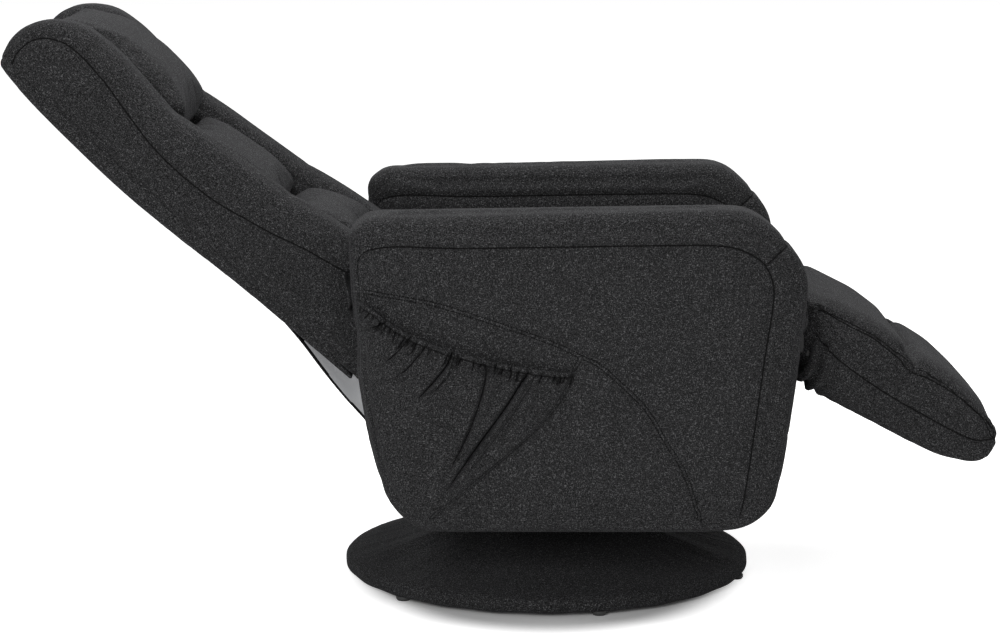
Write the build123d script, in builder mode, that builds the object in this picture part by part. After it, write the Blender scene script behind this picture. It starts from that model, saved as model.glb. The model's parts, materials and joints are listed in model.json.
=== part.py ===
"""Reclining armchair on a round swivel base, built in its reclined pose.

Millimetres. +X is the way the chair faces, +Y is the sitter's left, +Z is up.
The origin is on the floor under the middle of the reclined chair.
"""

import os
from math import acos, asin, cos, degrees, radians, sin, sqrt

from build123d import *

os.makedirs("parts", exist_ok=True)

# ---------------------------------------------------------------- driving dimensions
SWIVEL_X = 71.0  # swivel axis, forward of the origin
SIDES = (("right", -1), ("left", 1))

# round base
RING_R = 315.0  # centreline of the steel ring
RING_TUBE_R = 9.5
RING_WALL = 1.5
RING_Z = 18.0
COVER_T = 1.4  # cloth cover
COVER_GAP = 0.1  # between the cloth and the steel or plastic that it covers
FOOT_R = 12.0
FOOT_CONE_H = 3.0
FOOT_STEM_R = 5.0
FOOT_STEM_H = 4.0
FOOT_COUNT = 6
FOOT_TURN = -15.8  # degrees from +X to the first foot
RIDGE_TURN = 18.0  # degrees from the X axis to where a cover ridge meets the rim
HUB_LENGTH = 204.0
HUB_WIDTH = 124.0
HUB_T = 5.0
HUB_Z = 98.0  # underside of the hub plate
ARM_BAR_W = 24.0
ARM_BAR_H = 12.0

# swivel bearing
RACE_R = 56.0
RACE_T = 4.0
BALL_R = 4.0
BALL_PITCH_R = 45.0
BALL_COUNT = 20
BALL_CLEARANCE = 0.1
KING_R = 8.0
RUNNING_FIT = 0.06  # radial clearance of turning pins

# steel chassis
BAR = 30.0  # square tube
BAR_WALL = 2.0
SWIVEL_PLATE_T = 4.0
LONG_BAR_Y = 60.0
RAIL_FRONT_X = 216.0
RAIL_REAR_X = -74.0
TUBE_R = 12.5
TUBE_WALL = 2.0
TUBE_FRONT = (306.0, 340.0)
TUBE_REAR = (-114.0, 325.0)
ARM_INNER_Y = 250.0  # the seat, back, footrest and mechanism fit between the arms
PLATE_Y = ARM_INNER_Y - 30.0  # inner face of a mechanism side plate
PLATE_T = 4.0
LINK_GAP = 2.0  # between plates, levers and rods
LEVER_Y = PLATE_Y + PLATE_T + LINK_GAP  # inner face of the levers and brackets
LEVER_T = 4.0
ROD_Y = LEVER_Y + LEVER_T + LINK_GAP  # inner face of the link rods
ROD_T = 4.0

# recline linkage
RECLINE_PIVOT = (-189.0, 335.0)
FOOT_PIVOT = (408.0, 442.0)
RECLINE_TRAVEL = 38.0
FOOT_TRAVEL = 59.3
BACK_LEVER_R = 70.0
LEVER_MIDDLE = -77.6  # degrees from +X, both levers in the middle of their travel
PIVOT_R = 6.0
LINK_PIN_R = 5.0
SLOT_CLEARANCE = 0.35  # radial, at the open end of each link rod
SLOT_LENGTH = 2.6
BACK_ANGLE = 137.5  # degrees from +X to the direction up the reclined back
FOOTREST_ANGLE = -30.5  # degrees from +X to the direction out along the footrest

# upholstery
ARM_OUTER_Y = ARM_INNER_Y + 115.0
BOARD_Y = ARM_INNER_Y + 35.0  # inner face of the plywood in an arm
BOARD_T = 18.0
BOARD_UNDER = 403.0  # underside of the seat board
SEAT_BOARD_T = 10.0
DECK_T = 2.0
CUSHION_BOTTOM = BOARD_UNDER + SEAT_BOARD_T + DECK_T
CUSHION_H = 90.0
CUSHION_TOP = CUSHION_BOTTOM + CUSHION_H
CUSHION_FRONT = 446.0
CUSHION_REAR = -134.0
CUSHION_CORE_Y = PLATE_Y - 3.0
CUSHION_HALF_W = ARM_INNER_Y - 3.0
CUSHION_LIP_Z = CUSHION_BOTTOM + 47.0
WING_INNER_Y = 152.0
BACK_HALF_W = ARM_INNER_Y - 5.0
FOOTREST_HALF_W = ARM_INNER_Y - 10.0
SWEEP_R = 148.0  # lower back stays within this radius of the recline pivot
CUSHION_SWEEP_R = 152.0  # rear of the seat cushion stays outside this radius of it


def turned(centre, radius, angle):
    """Point at a radius and an angle in degrees from a centre in the side view."""
    return (
        centre[0] + radius * cos(radians(angle)),
        centre[1] + radius * sin(radians(angle)),
    )


foot_lever_r = BACK_LEVER_R * sin(radians(RECLINE_TRAVEL / 2)) / sin(radians(FOOT_TRAVEL / 2))
back_pin = turned(RECLINE_PIVOT, BACK_LEVER_R, LEVER_MIDDLE + RECLINE_TRAVEL / 2)
foot_pin = turned(FOOT_PIVOT, foot_lever_r, LEVER_MIDDLE + FOOT_TRAVEL / 2)
rod_x = foot_pin[0] - back_pin[0]
rod_z = foot_pin[1] - back_pin[1]
rod_length = sqrt(rod_x**2 + rod_z**2)
rod_angle = degrees(asin(rod_z / rod_length))
race_top = HUB_Z + HUB_T + RACE_T
ball_z = race_top + 2.0
upper_race_z = ball_z + 2.0
upper_race_top = upper_race_z + RACE_T
bar_bottom = upper_race_top + SWIVEL_PLATE_T
rail_bottom = bar_bottom + BAR


def side_plane(y):
    """Side view plane at a given Y: its own x is +X, its own y is +Z, it faces -Y."""
    return Plane(origin=(0, y, 0), x_dir=(1, 0, 0), z_dir=(0, -1, 0))


def back_plane(y):
    """Plane along the reclined back: own x up the back, own y out of its front, it faces +Y."""
    along = (cos(radians(BACK_ANGLE)), 0, sin(radians(BACK_ANGLE)))
    return Plane(origin=(RECLINE_PIVOT[0], y, RECLINE_PIVOT[1]), x_dir=along, z_dir=(0, 1, 0))


def footrest_plane(y):
    """Plane along the footrest: own x out along it, own y out of its top, it faces -Y."""
    along = (cos(radians(FOOTREST_ANGLE)), 0, sin(radians(FOOTREST_ANGLE)))
    return Plane(origin=(FOOT_PIVOT[0], y, FOOT_PIVOT[1]), x_dir=along, z_dir=(0, -1, 0))


def on_back(up, out):
    """Side view point at a distance up the back from its pivot and out of its front."""
    foot = turned(RECLINE_PIVOT, up, BACK_ANGLE)
    return turned(foot, out, BACK_ANGLE - 90)


def on_footrest(out, up):
    """Side view point at a distance out along the footrest from its pivot and up from it."""
    foot = turned(FOOT_PIVOT, out, FOOTREST_ANGLE)
    return turned(foot, up, FOOTREST_ANGLE + 90)


def on_back_point(up, out):
    """Place in space on the middle of the back."""
    x, z = on_back(up, out)
    return (x, 0, z)


def strap(start, end, width):
    """Rounded flat bar between two centres, in the sketch being drawn."""
    run = (end[0] - start[0], end[1] - start[1])
    length = sqrt(run[0] ** 2 + run[1] ** 2)
    middle = ((start[0] + end[0]) / 2, (start[1] + end[1]) / 2)
    turn = degrees(asin(run[1] / length))
    with Locations(middle):
        SlotCenterToCenter(length, width, rotation=turn if run[0] > 0 else -turn)


def link_plane(y):
    """Plane along the link rods from the back pin, facing -Y."""
    along = (cos(radians(rod_angle)), 0, sin(radians(rod_angle)))
    return Plane(origin=(back_pin[0], y, back_pin[1]), x_dir=along, z_dir=(0, -1, 0))


# ================================================================ base
# Bent steel tube ring that the chair stands on, with a hollow wall.
with BuildPart() as ring_solid:
    with Locations((SWIVEL_X, 0, RING_Z)):
        Torus(RING_R, RING_TUBE_R)

with BuildPart() as base_ring:
    with Locations((SWIVEL_X, 0, RING_Z)):
        Torus(RING_R, RING_TUBE_R)
        Torus(RING_R, RING_TUBE_R - RING_WALL, mode=Mode.SUBTRACT)

# Floor glides: a disc with a stem that passes through the cover to the ring.
RIM_R = RING_TUBE_R + COVER_GAP + COVER_T
foot_top = RING_Z - RIM_R - COVER_GAP
with BuildPart() as base_feet:
    with Locations((SWIVEL_X, 0, 0)):
        with PolarLocations(RING_R, FOOT_COUNT, start_angle=FOOT_TURN):
            Cone(FOOT_R - 2, FOOT_R, FOOT_CONE_H, align=(Align.CENTER, Align.CENTER, Align.MIN))
    with Locations((SWIVEL_X, 0, FOOT_CONE_H)):
        with PolarLocations(RING_R, FOOT_COUNT, start_angle=FOOT_TURN):
            Cylinder(FOOT_R, foot_top - FOOT_CONE_H, align=(Align.CENTER, Align.CENTER, Align.MIN))
    with Locations((SWIVEL_X, 0, foot_top)):
        with PolarLocations(RING_R, FOOT_COUNT, start_angle=FOOT_TURN):
            Cylinder(FOOT_STEM_R, FOOT_STEM_H, align=(Align.CENTER, Align.CENTER, Align.MIN))
    add(ring_solid.part, mode=Mode.SUBTRACT)

# Rectangular hub plate, drilled for the king bolt and the race bolts.
with BuildPart() as hub_plate:
    with BuildSketch(Plane.XY.offset(HUB_Z)):
        with Locations((SWIVEL_X, 0)):
            RectangleRounded(HUB_LENGTH, HUB_WIDTH, 8)
            Circle(KING_R, mode=Mode.SUBTRACT)
            with PolarLocations(28, 4, start_angle=45):
                Circle(3, mode=Mode.SUBTRACT)
    extrude(amount=HUB_T)

# Four straight bars that rise from the ring to the corners of the hub plate.
bar_foot_x = (RING_R - 7) * cos(radians(RIDGE_TURN))
bar_foot_y = (RING_R - 7) * sin(radians(RIDGE_TURN))
bar_top_x = HUB_LENGTH / 2 - 16
bar_top_y = HUB_WIDTH / 2 - 14
bar_foot_z = RING_Z + 1
bar_top_z = HUB_Z - ARM_BAR_H / 2 - 0.5
with BuildPart() as base_star:
    for sx in (-1, 1):
        for sy in (-1, 1):
            start = Vector(SWIVEL_X + sx * bar_top_x, sy * bar_top_y, bar_top_z)
            end = Vector(SWIVEL_X + sx * bar_foot_x, sy * bar_foot_y, bar_foot_z)
            run = end - start
            flat = Vector(run.X, run.Y, 0).normalized()
            across = Vector(-flat.Y, flat.X, 0)
            with BuildSketch(Plane(origin=start, x_dir=across, z_dir=run.normalized())):
                RectangleRounded(ARM_BAR_W, ARM_BAR_H, 3)
            extrude(amount=run.length)
    with BuildSketch(Plane.XY.offset(HUB_Z - ARM_BAR_H - 6)):
        with Locations((SWIVEL_X, 0)):
            RectangleRounded(HUB_LENGTH - 12, HUB_WIDTH - 12, 6)
            RectangleRounded(HUB_LENGTH - 60, HUB_WIDTH - 44, 6, mode=Mode.SUBTRACT)
    extrude(amount=ARM_BAR_H + 6)
    add(ring_solid.part, mode=Mode.SUBTRACT)
    with BuildSketch(Plane.XY.offset(HUB_Z)):
        with Locations((SWIVEL_X, 0)):
            Rectangle(HUB_LENGTH + 40, HUB_WIDTH + 40)
    extrude(amount=20, mode=Mode.SUBTRACT)

# Cloth cover: a low tent from the hub plate to the ring, rolled under the rim.
rim_lift = 70.0  # degrees up the rim where the tent meets it


def tent(drop):
    """Solid under the tent cloth, lowered by a drop, with four ridges to the hub corners."""
    rim_r = RING_R + (RIM_R - drop) * cos(radians(rim_lift))
    rim_z = RING_Z + (RIM_R - drop) * sin(radians(rim_lift))
    turns = (-RIDGE_TURN, RIDGE_TURN, 180 - RIDGE_TURN, 180 + RIDGE_TURN)
    half_l = HUB_LENGTH / 2 + 1.5 - drop * 0.4
    half_w = HUB_WIDTH / 2 + 1.5 - drop * 0.4
    corners = ((half_l, -half_w), (half_l, half_w), (-half_l, half_w), (-half_l, -half_w))
    with BuildPart() as body:
        with BuildSketch(Plane.XY.offset(rim_z)):
            with BuildLine():
                for i in range(4):
                    a = turns[i]
                    b = turns[(i + 1) % 4] + (360 if i == 3 else 0)
                    pts = []
                    for t in (a, (a + b) / 2, b):
                        pts.append((SWIVEL_X + rim_r * cos(radians(t)), rim_r * sin(radians(t))))
                    ThreePointArc(*pts)
            make_face()
        with BuildSketch(Plane.XY.offset(HUB_Z + HUB_T + COVER_GAP + COVER_T - drop)):
            with BuildLine():
                Polyline(*[(SWIVEL_X + x, y) for x, y in corners], close=True)
            make_face()
        loft(ruled=True)
    return body.part


tent_outside = tent(0)
tent_inside = tent(COVER_T)
with BuildPart() as base_cover:
    add(tent_outside)
    add(tent_inside, mode=Mode.SUBTRACT)
    with BuildSketch(Plane.XY.offset(HUB_Z)):
        with Locations((SWIVEL_X, 0)):
            Circle(RACE_R + 1)
    extrude(amount=20, mode=Mode.SUBTRACT)

# Band of the same cloth rolled round the rim and tucked under it, with holes for the feet.
with BuildPart() as cover_band:
    with BuildSketch(Plane.XZ):
        with BuildLine():
            rim_centre = (SWIVEL_X + RING_R, RING_Z)
            rolled = (rim_lift - 7, -32, -128)
            outer = [turned(rim_centre, RIM_R, a) for a in rolled]
            inner = [turned(rim_centre, RIM_R - COVER_T, a) for a in rolled]
            ThreePointArc(outer[0], outer[1], outer[2])
            Line(outer[2], inner[2])
            ThreePointArc(inner[2], inner[1], inner[0])
            Line(inner[0], outer[0])
        make_face()
    revolve(axis=Axis((SWIVEL_X, 0, 0), (0, 0, 1)))
    with Locations((SWIVEL_X, 0, 0)):
        with PolarLocations(RING_R, FOOT_COUNT, start_angle=FOOT_TURN):
            Cylinder(
                FOOT_STEM_R + 3 * COVER_GAP,
                RING_Z - RIM_R + 5,
                align=(Align.CENTER, Align.CENTER, Align.MIN),
                mode=Mode.SUBTRACT,
            )

# Lower race, clamped to the hub plate through the hole in the cover.
with BuildPart() as bearing_lower:
    with BuildSketch(Plane.XY.offset(HUB_Z + HUB_T)):
        with Locations((SWIVEL_X, 0)):
            Circle(RACE_R)
            Circle(KING_R, mode=Mode.SUBTRACT)
            with PolarLocations(28, 4, start_angle=45):
                Circle(3, mode=Mode.SUBTRACT)
    extrude(amount=RACE_T)
    with Locations((SWIVEL_X, 0, ball_z)):
        Torus(BALL_PITCH_R, BALL_R, mode=Mode.SUBTRACT)

# Balls in their groove, and the thin cage that spaces them.
with BuildPart() as bearing_balls:
    with Locations((SWIVEL_X, 0, ball_z)):
        with PolarLocations(BALL_PITCH_R, BALL_COUNT):
            Sphere(BALL_R - 0.02)

with BuildPart() as ball_cage:
    with BuildSketch(Plane.XY.offset(ball_z - 0.5)):
        with Locations((SWIVEL_X, 0)):
            Circle(BALL_PITCH_R + 6)
            Circle(BALL_PITCH_R - 6, mode=Mode.SUBTRACT)
            with PolarLocations(BALL_PITCH_R, BALL_COUNT):
                Circle(BALL_R + 0.05, mode=Mode.SUBTRACT)
    extrude(amount=1)

# Upper race with the hole the king bolt turns in.
with BuildPart() as bearing_upper:
    with BuildSketch(Plane.XY.offset(upper_race_z)):
        with Locations((SWIVEL_X, 0)):
            Circle(RACE_R)
            Circle(KING_R + RUNNING_FIT, mode=Mode.SUBTRACT)
            with PolarLocations(28, 4, start_angle=45):
                Circle(3, mode=Mode.SUBTRACT)
    extrude(amount=RACE_T)
    with Locations((SWIVEL_X, 0, ball_z)):
        Torus(BALL_PITCH_R, BALL_R + BALL_CLEARANCE, mode=Mode.SUBTRACT)

# King bolt: hexagon head under the hub plate, shank, washer and nut over the upper race.
washer_z = upper_race_top + 0.3
with BuildPart() as king_bolt:
    with BuildSketch(Plane.XY.offset(HUB_Z - 9)):
        with Locations((SWIVEL_X, 0)):
            RegularPolygon(13, 6)
    extrude(amount=9)
    with Locations((SWIVEL_X, 0, HUB_Z)):
        Cylinder(KING_R, washer_z + 16 - HUB_Z, align=(Align.CENTER, Align.CENTER, Align.MIN))
    with Locations((SWIVEL_X, 0, washer_z)):
        Cylinder(16, 2.5, align=(Align.CENTER, Align.CENTER, Align.MIN))
    with BuildSketch(Plane.XY.offset(washer_z + 2.5)):
        with Locations((SWIVEL_X, 0)):
            RegularPolygon(13, 6)
    extrude(amount=11)

# Four bolts that hold the lower race to the hub plate, heads below, nuts sunk in the race.
with BuildPart() as race_bolts:
    with Locations((SWIVEL_X, 0, HUB_Z)):
        with PolarLocations(28, 4, start_angle=45):
            Cylinder(3, HUB_T + RACE_T - 1, align=(Align.CENTER, Align.CENTER, Align.MIN))
    with BuildSketch(Plane.XY.offset(HUB_Z - 4)):
        with Locations((SWIVEL_X, 0)):
            with PolarLocations(28, 4, start_angle=45):
                RegularPolygon(5.5, 6)
    extrude(amount=4)

# ================================================================ swivelling chassis
# Plate on the upper race, open in the middle for the king bolt nut.
with BuildPart() as swivel_plate:
    with BuildSketch(Plane.XY.offset(upper_race_top)):
        with Locations((SWIVEL_X, 0)):
            RectangleRounded(220, 170, 10)
            Circle(20, mode=Mode.SUBTRACT)
            with PolarLocations(28, 4, start_angle=45):
                Circle(3, mode=Mode.SUBTRACT)
            with GridLocations(180, 2 * LONG_BAR_Y, 2, 2):
                Circle(4, mode=Mode.SUBTRACT)
    extrude(amount=SWIVEL_PLATE_T)

# Two square tubes fore and aft on the plate.
LONG_BAR_FRONT = 256.0
LONG_BAR_REAR = -114.0
with BuildPart() as swivel_bars:
    for sy in (-1, 1):
        bar_start = (LONG_BAR_REAR, sy * LONG_BAR_Y, bar_bottom + BAR / 2)
        with BuildSketch(Plane(origin=bar_start, x_dir=(0, 1, 0), z_dir=(1, 0, 0))):
            RectangleRounded(BAR, BAR, 4)
            RectangleRounded(BAR - 2 * BAR_WALL, BAR - 2 * BAR_WALL, 2, mode=Mode.SUBTRACT)
        extrude(amount=LONG_BAR_FRONT - LONG_BAR_REAR)
    with Locations((SWIVEL_X, 0, bar_bottom - 1)):
        with GridLocations(180, 2 * LONG_BAR_Y, 2, 2):
            Cylinder(4, BAR_WALL + 2, align=(Align.CENTER, Align.CENTER, Align.MIN), mode=Mode.SUBTRACT)

# Two square tubes across, into both arms.
with BuildPart() as cross_rails:
    for rail_x in (RAIL_REAR_X, RAIL_FRONT_X):
        rail_start = (rail_x, -BOARD_Y, rail_bottom + BAR / 2)
        with BuildSketch(Plane(origin=rail_start, x_dir=(1, 0, 0), z_dir=(0, 1, 0))):
            RectangleRounded(BAR, BAR, 4)
            RectangleRounded(BAR - 2 * BAR_WALL, BAR - 2 * BAR_WALL, 2, mode=Mode.SUBTRACT)
        extrude(amount=2 * BOARD_Y)

# Bolts between upper race, plate and long bars.
with BuildPart() as chassis_bolts:
    with Locations((SWIVEL_X, 0, upper_race_z + 0.6)):
        with PolarLocations(28, 4, start_angle=45):
            Cylinder(3, RACE_T + SWIVEL_PLATE_T - 0.6, align=(Align.CENTER, Align.CENTER, Align.MIN))
    with BuildSketch(Plane.XY.offset(bar_bottom)):
        with Locations((SWIVEL_X, 0)):
            with PolarLocations(28, 4, start_angle=45):
                RegularPolygon(5.5, 6)
    extrude(amount=4)
    with Locations((SWIVEL_X, 0, upper_race_top)):
        with GridLocations(180, 2 * LONG_BAR_Y, 2, 2):
            Cylinder(4, SWIVEL_PLATE_T + BAR_WALL, align=(Align.CENTER, Align.CENTER, Align.MIN))
    with BuildSketch(Plane.XY.offset(upper_race_top - 4)):
        with Locations((SWIVEL_X, 0)):
            with GridLocations(180, 2 * LONG_BAR_Y, 2, 2):
                RegularPolygon(7, 6)
    extrude(amount=4)

# Steel side plates of the mechanism. They carry both pivots and both cross tubes,
# and an inward flange along the top of each holds up the seat board.
FLANGE_W = 34.0
FLANGE_T = 3.0
FLANGE_REAR_X = -48.0
FLANGE_FRONT_X = 350.0
PLATE_OUTLINE = [
    (-211, 322),
    (-206, 352),
    (-180, 356),
    (-134, 350),
    (-60, BOARD_UNDER),
    (362, BOARD_UNDER),
    (392, 456),
    (422, 456),
    (426, 430),
    (362, 392),
    (338, 322),
    (316, 318),
    (-84, 300),
    (-196, 312),
]
side_plates = {}
for side, sy in SIDES:
    with BuildPart() as plate:
        with BuildSketch(side_plane(sy * (PLATE_Y + PLATE_T / 2) + PLATE_T / 2)):
            with BuildLine():
                Polyline(*PLATE_OUTLINE, close=True)
            make_face()
            fillet(objects=vertices(), radius=6)
            with Locations(RECLINE_PIVOT, FOOT_PIVOT):
                Circle(PIVOT_R, mode=Mode.SUBTRACT)
            with Locations(TUBE_REAR, TUBE_FRONT):
                Circle(TUBE_R, mode=Mode.SUBTRACT)
            with Locations((6, 355), (111, 355), (216, 355)):
                SlotOverall(76, 40, mode=Mode.SUBTRACT)
        extrude(amount=PLATE_T)
        with BuildSketch(Plane.XY.offset(BOARD_UNDER - FLANGE_T)):
            with Locations(((FLANGE_REAR_X + FLANGE_FRONT_X) / 2, sy * (PLATE_Y + PLATE_T - FLANGE_W / 2))):
                Rectangle(FLANGE_FRONT_X - FLANGE_REAR_X, FLANGE_W)
        extrude(amount=FLANGE_T)
    side_plates[side] = plate.part

# Two round tubes across, through the side plates and into both arms.
with BuildPart() as cross_tubes:
    with BuildSketch(side_plane(BOARD_Y)):
        with Locations(TUBE_REAR, TUBE_FRONT):
            Circle(TUBE_R)
            Circle(TUBE_R - TUBE_WALL, mode=Mode.SUBTRACT)
    extrude(amount=2 * BOARD_Y)

# Four shouldered pivot pins, riveted in the side plates.
PIN_END = LEVER_Y + LEVER_T + 0.3
with BuildPart() as pivot_pins:
    for side, sy in SIDES:
        for centre in (RECLINE_PIVOT, FOOT_PIVOT):
            for radius, near, far in (
                (PIVOT_R, PLATE_Y, PIN_END),
                (10, PIN_END, PIN_END + 1.5),
                (9, PLATE_Y + PLATE_T, LEVER_Y - 0.3),
            ):
                with BuildSketch(side_plane(max(sy * near, sy * far))):
                    with Locations(centre):
                        Circle(radius)
                extrude(amount=far - near)

# Plywood seat board with a window for the springs.
BOARD_FRONT_X = 434.0
BOARD_REAR_X = -60.0
WINDOW_FRONT_X = 316.0
WINDOW_REAR_X = -4.0
with BuildPart() as seat_board:
    with BuildSketch(Plane.XY.offset(BOARD_UNDER)):
        with Locations(((BOARD_FRONT_X + BOARD_REAR_X) / 2, 0)):
            Rectangle(BOARD_FRONT_X - BOARD_REAR_X, 2 * CUSHION_CORE_Y)
            with Locations(((FLANGE_REAR_X + FLANGE_FRONT_X) / 2 - (BOARD_FRONT_X + BOARD_REAR_X) / 2, 0)):
                Rectangle(FLANGE_FRONT_X - FLANGE_REAR_X, 2 * PLATE_Y)
        with Locations(((WINDOW_FRONT_X + WINDOW_REAR_X) / 2, 0)):
            RectangleRounded(WINDOW_FRONT_X - WINDOW_REAR_X, 2 * 165, 20, mode=Mode.SUBTRACT)
    extrude(amount=SEAT_BOARD_T)

# Zigzag wire springs hooked over the window's edges.
with BuildPart() as seat_springs:
    for spring_y in (-120, -60, 0, 60, 120):
        with BuildSketch(Plane.XY.offset(BOARD_UNDER + 4)):
            with BuildLine():
                pts = [(WINDOW_REAR_X + 2, spring_y)]
                for i in range(13):
                    pts.append((WINDOW_REAR_X + 28 + i * 22, spring_y + (18 if i % 2 else -18)))
                pts.append((WINDOW_FRONT_X - 2, spring_y))
                Polyline(*pts)
            trace(line_width=4)
        extrude(amount=4)

# Felt deck over the board and the springs.
with BuildPart() as seat_deck:
    with BuildSketch(Plane.XY.offset(BOARD_UNDER + SEAT_BOARD_T)):
        with Locations(((BOARD_FRONT_X + BOARD_REAR_X) / 2, 0)):
            Rectangle(BOARD_FRONT_X - BOARD_REAR_X, 2 * CUSHION_CORE_Y)
    extrude(amount=DECK_T)

# Seat cushion: crowned top, core between the side plates, lips out to the arms.
with BuildPart() as seat_cushion:
    with BuildSketch(side_plane(CUSHION_HALF_W)):
        with BuildLine():
            arc_reach = sqrt(CUSHION_SWEEP_R**2 - (CUSHION_BOTTOM - RECLINE_PIVOT[1]) ** 2)
            arc_rise = sqrt(CUSHION_SWEEP_R**2 - (CUSHION_REAR - RECLINE_PIVOT[0]) ** 2)
            arc_low = (RECLINE_PIVOT[0] + arc_reach, CUSHION_BOTTOM)
            arc_top = (CUSHION_REAR, RECLINE_PIVOT[1] + arc_rise)
            low_angle = degrees(acos(arc_reach / CUSHION_SWEEP_R))
            top_angle = degrees(asin(arc_rise / CUSHION_SWEEP_R))
            arc_mid = turned(RECLINE_PIVOT, CUSHION_SWEEP_R, (low_angle + top_angle) / 2)
            ThreePointArc(arc_low, arc_mid, arc_top)
            Line(arc_top, (CUSHION_REAR, CUSHION_TOP))
            Line((CUSHION_REAR, CUSHION_TOP), (CUSHION_FRONT, CUSHION_TOP))
            Line((CUSHION_FRONT, CUSHION_TOP), (CUSHION_FRONT, CUSHION_BOTTOM))
            Line((CUSHION_FRONT, CUSHION_BOTTOM), arc_low)
        make_face()
    extrude(amount=2 * CUSHION_HALF_W)
    with BuildSketch(Plane(origin=(CUSHION_REAR - 60, 0, 0), x_dir=(0, 1, 0), z_dir=(1, 0, 0))):
        with BuildLine():
            crown = CUSHION_TOP - 12
            Polyline(
                (-CUSHION_HALF_W, crown),
                (-CUSHION_HALF_W, CUSHION_LIP_Z),
                (-CUSHION_CORE_Y, CUSHION_LIP_Z),
                (-CUSHION_CORE_Y, CUSHION_BOTTOM),
                (CUSHION_CORE_Y, CUSHION_BOTTOM),
                (CUSHION_CORE_Y, CUSHION_LIP_Z),
                (CUSHION_HALF_W, CUSHION_LIP_Z),
                (CUSHION_HALF_W, crown),
            )
            ThreePointArc((CUSHION_HALF_W, crown), (0, CUSHION_TOP), (-CUSHION_HALF_W, crown))
        make_face()
    extrude(amount=CUSHION_FRONT - CUSHION_REAR + 120, mode=Mode.INTERSECT)
    top_edges = seat_cushion.edges().filter_by_position(Axis.Z, CUSHION_TOP - 13, CUSHION_TOP + 1)
    fillet(top_edges, radius=9)

# ================================================================ arms
ARM_OUTLINE = [(-237, 630), (475, 634), (410, 136), (-177, 136)]
ARM_RADII = (45, 118, 62, 78)


def arm_sketch(inset):
    """Face of the arm's side outline, drawn in by an inset."""
    with BuildSketch(mode=Mode.PRIVATE) as outline:
        with BuildLine():
            Polyline(*ARM_OUTLINE, close=True)
        make_face()
        for corner, radius in zip(ARM_OUTLINE, ARM_RADII):
            fillet(objects=vertices().sort_by_distance((corner[0], corner[1], 0))[0], radius=radius)
        if inset:
            offset(amount=-inset, mode=Mode.REPLACE)
    return outline.sketch


RAIL_BOLTS = [(RAIL_REAR_X, rail_bottom + BAR / 2), (RAIL_FRONT_X, rail_bottom + BAR / 2)]
BOLT_CENTRES = RAIL_BOLTS + [TUBE_REAR, TUBE_FRONT]
arm_face = arm_sketch(0)
board_face = arm_sketch(18)
arm_boards = {}
arm_bodies = {}
for side, sy in SIDES:
    with BuildPart() as board:
        with BuildSketch(side_plane(max(sy * BOARD_Y, sy * (BOARD_Y + BOARD_T)))):
            add(board_face)
            with Locations((76, 480)):
                RectangleRounded(420, 130, 30, mode=Mode.SUBTRACT)
            with Locations(*BOLT_CENTRES):
                Circle(4, mode=Mode.SUBTRACT)
        extrude(amount=BOARD_T)
    arm_boards[side] = board.part

# Bolts through each plywood board into the ends of the rails and tubes.
with BuildPart() as arm_bolts:
    for side, sy in SIDES:
        for radius, near, far in (
            (4, BOARD_Y - 14, BOARD_Y + BOARD_T),
            (9, BOARD_Y + BOARD_T, BOARD_Y + BOARD_T + 5),
        ):
            with BuildSketch(side_plane(max(sy * near, sy * far))):
                with Locations(*BOLT_CENTRES):
                    Circle(radius)
            extrude(amount=far - near)
        with BuildSketch(side_plane(max(sy * (BOARD_Y - 14), sy * BOARD_Y))):
            with Locations(TUBE_REAR, TUBE_FRONT):
                Circle(TUBE_R - TUBE_WALL)
                Circle(4, mode=Mode.SUBTRACT)
        extrude(amount=14)
        with BuildSketch(side_plane(max(sy * (BOARD_Y - 14), sy * BOARD_Y))):
            with Locations(*RAIL_BOLTS):
                RectangleRounded(BAR - 2 * BAR_WALL, BAR - 2 * BAR_WALL, 2)
                Circle(4, mode=Mode.SUBTRACT)
        extrude(amount=14)

# Upholstered arms: foam and cover round the board, drawn in at the inner face's lower half.
for side, sy in SIDES:
    with BuildPart() as body:
        with BuildSketch(side_plane(max(sy * ARM_INNER_Y, sy * ARM_OUTER_Y))):
            add(arm_face)
        extrude(amount=ARM_OUTER_Y - ARM_INNER_Y)
        rims = body.faces().filter_by(Axis.Y).edges()
        fillet(rims, radius=26)
        add(arm_boards[side], mode=Mode.SUBTRACT)
        add(arm_bolts.part, mode=Mode.SUBTRACT)
        with BuildSketch(side_plane(max(sy * ARM_INNER_Y, sy * BOARD_Y))):
            with Locations(TUBE_REAR, TUBE_FRONT):
                Circle(TUBE_R)
            with Locations(*RAIL_BOLTS):
                RectangleRounded(BAR, BAR, 4)
        extrude(amount=BOARD_Y - ARM_INNER_Y, mode=Mode.SUBTRACT)
    arm_bodies[side] = body.part

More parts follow.
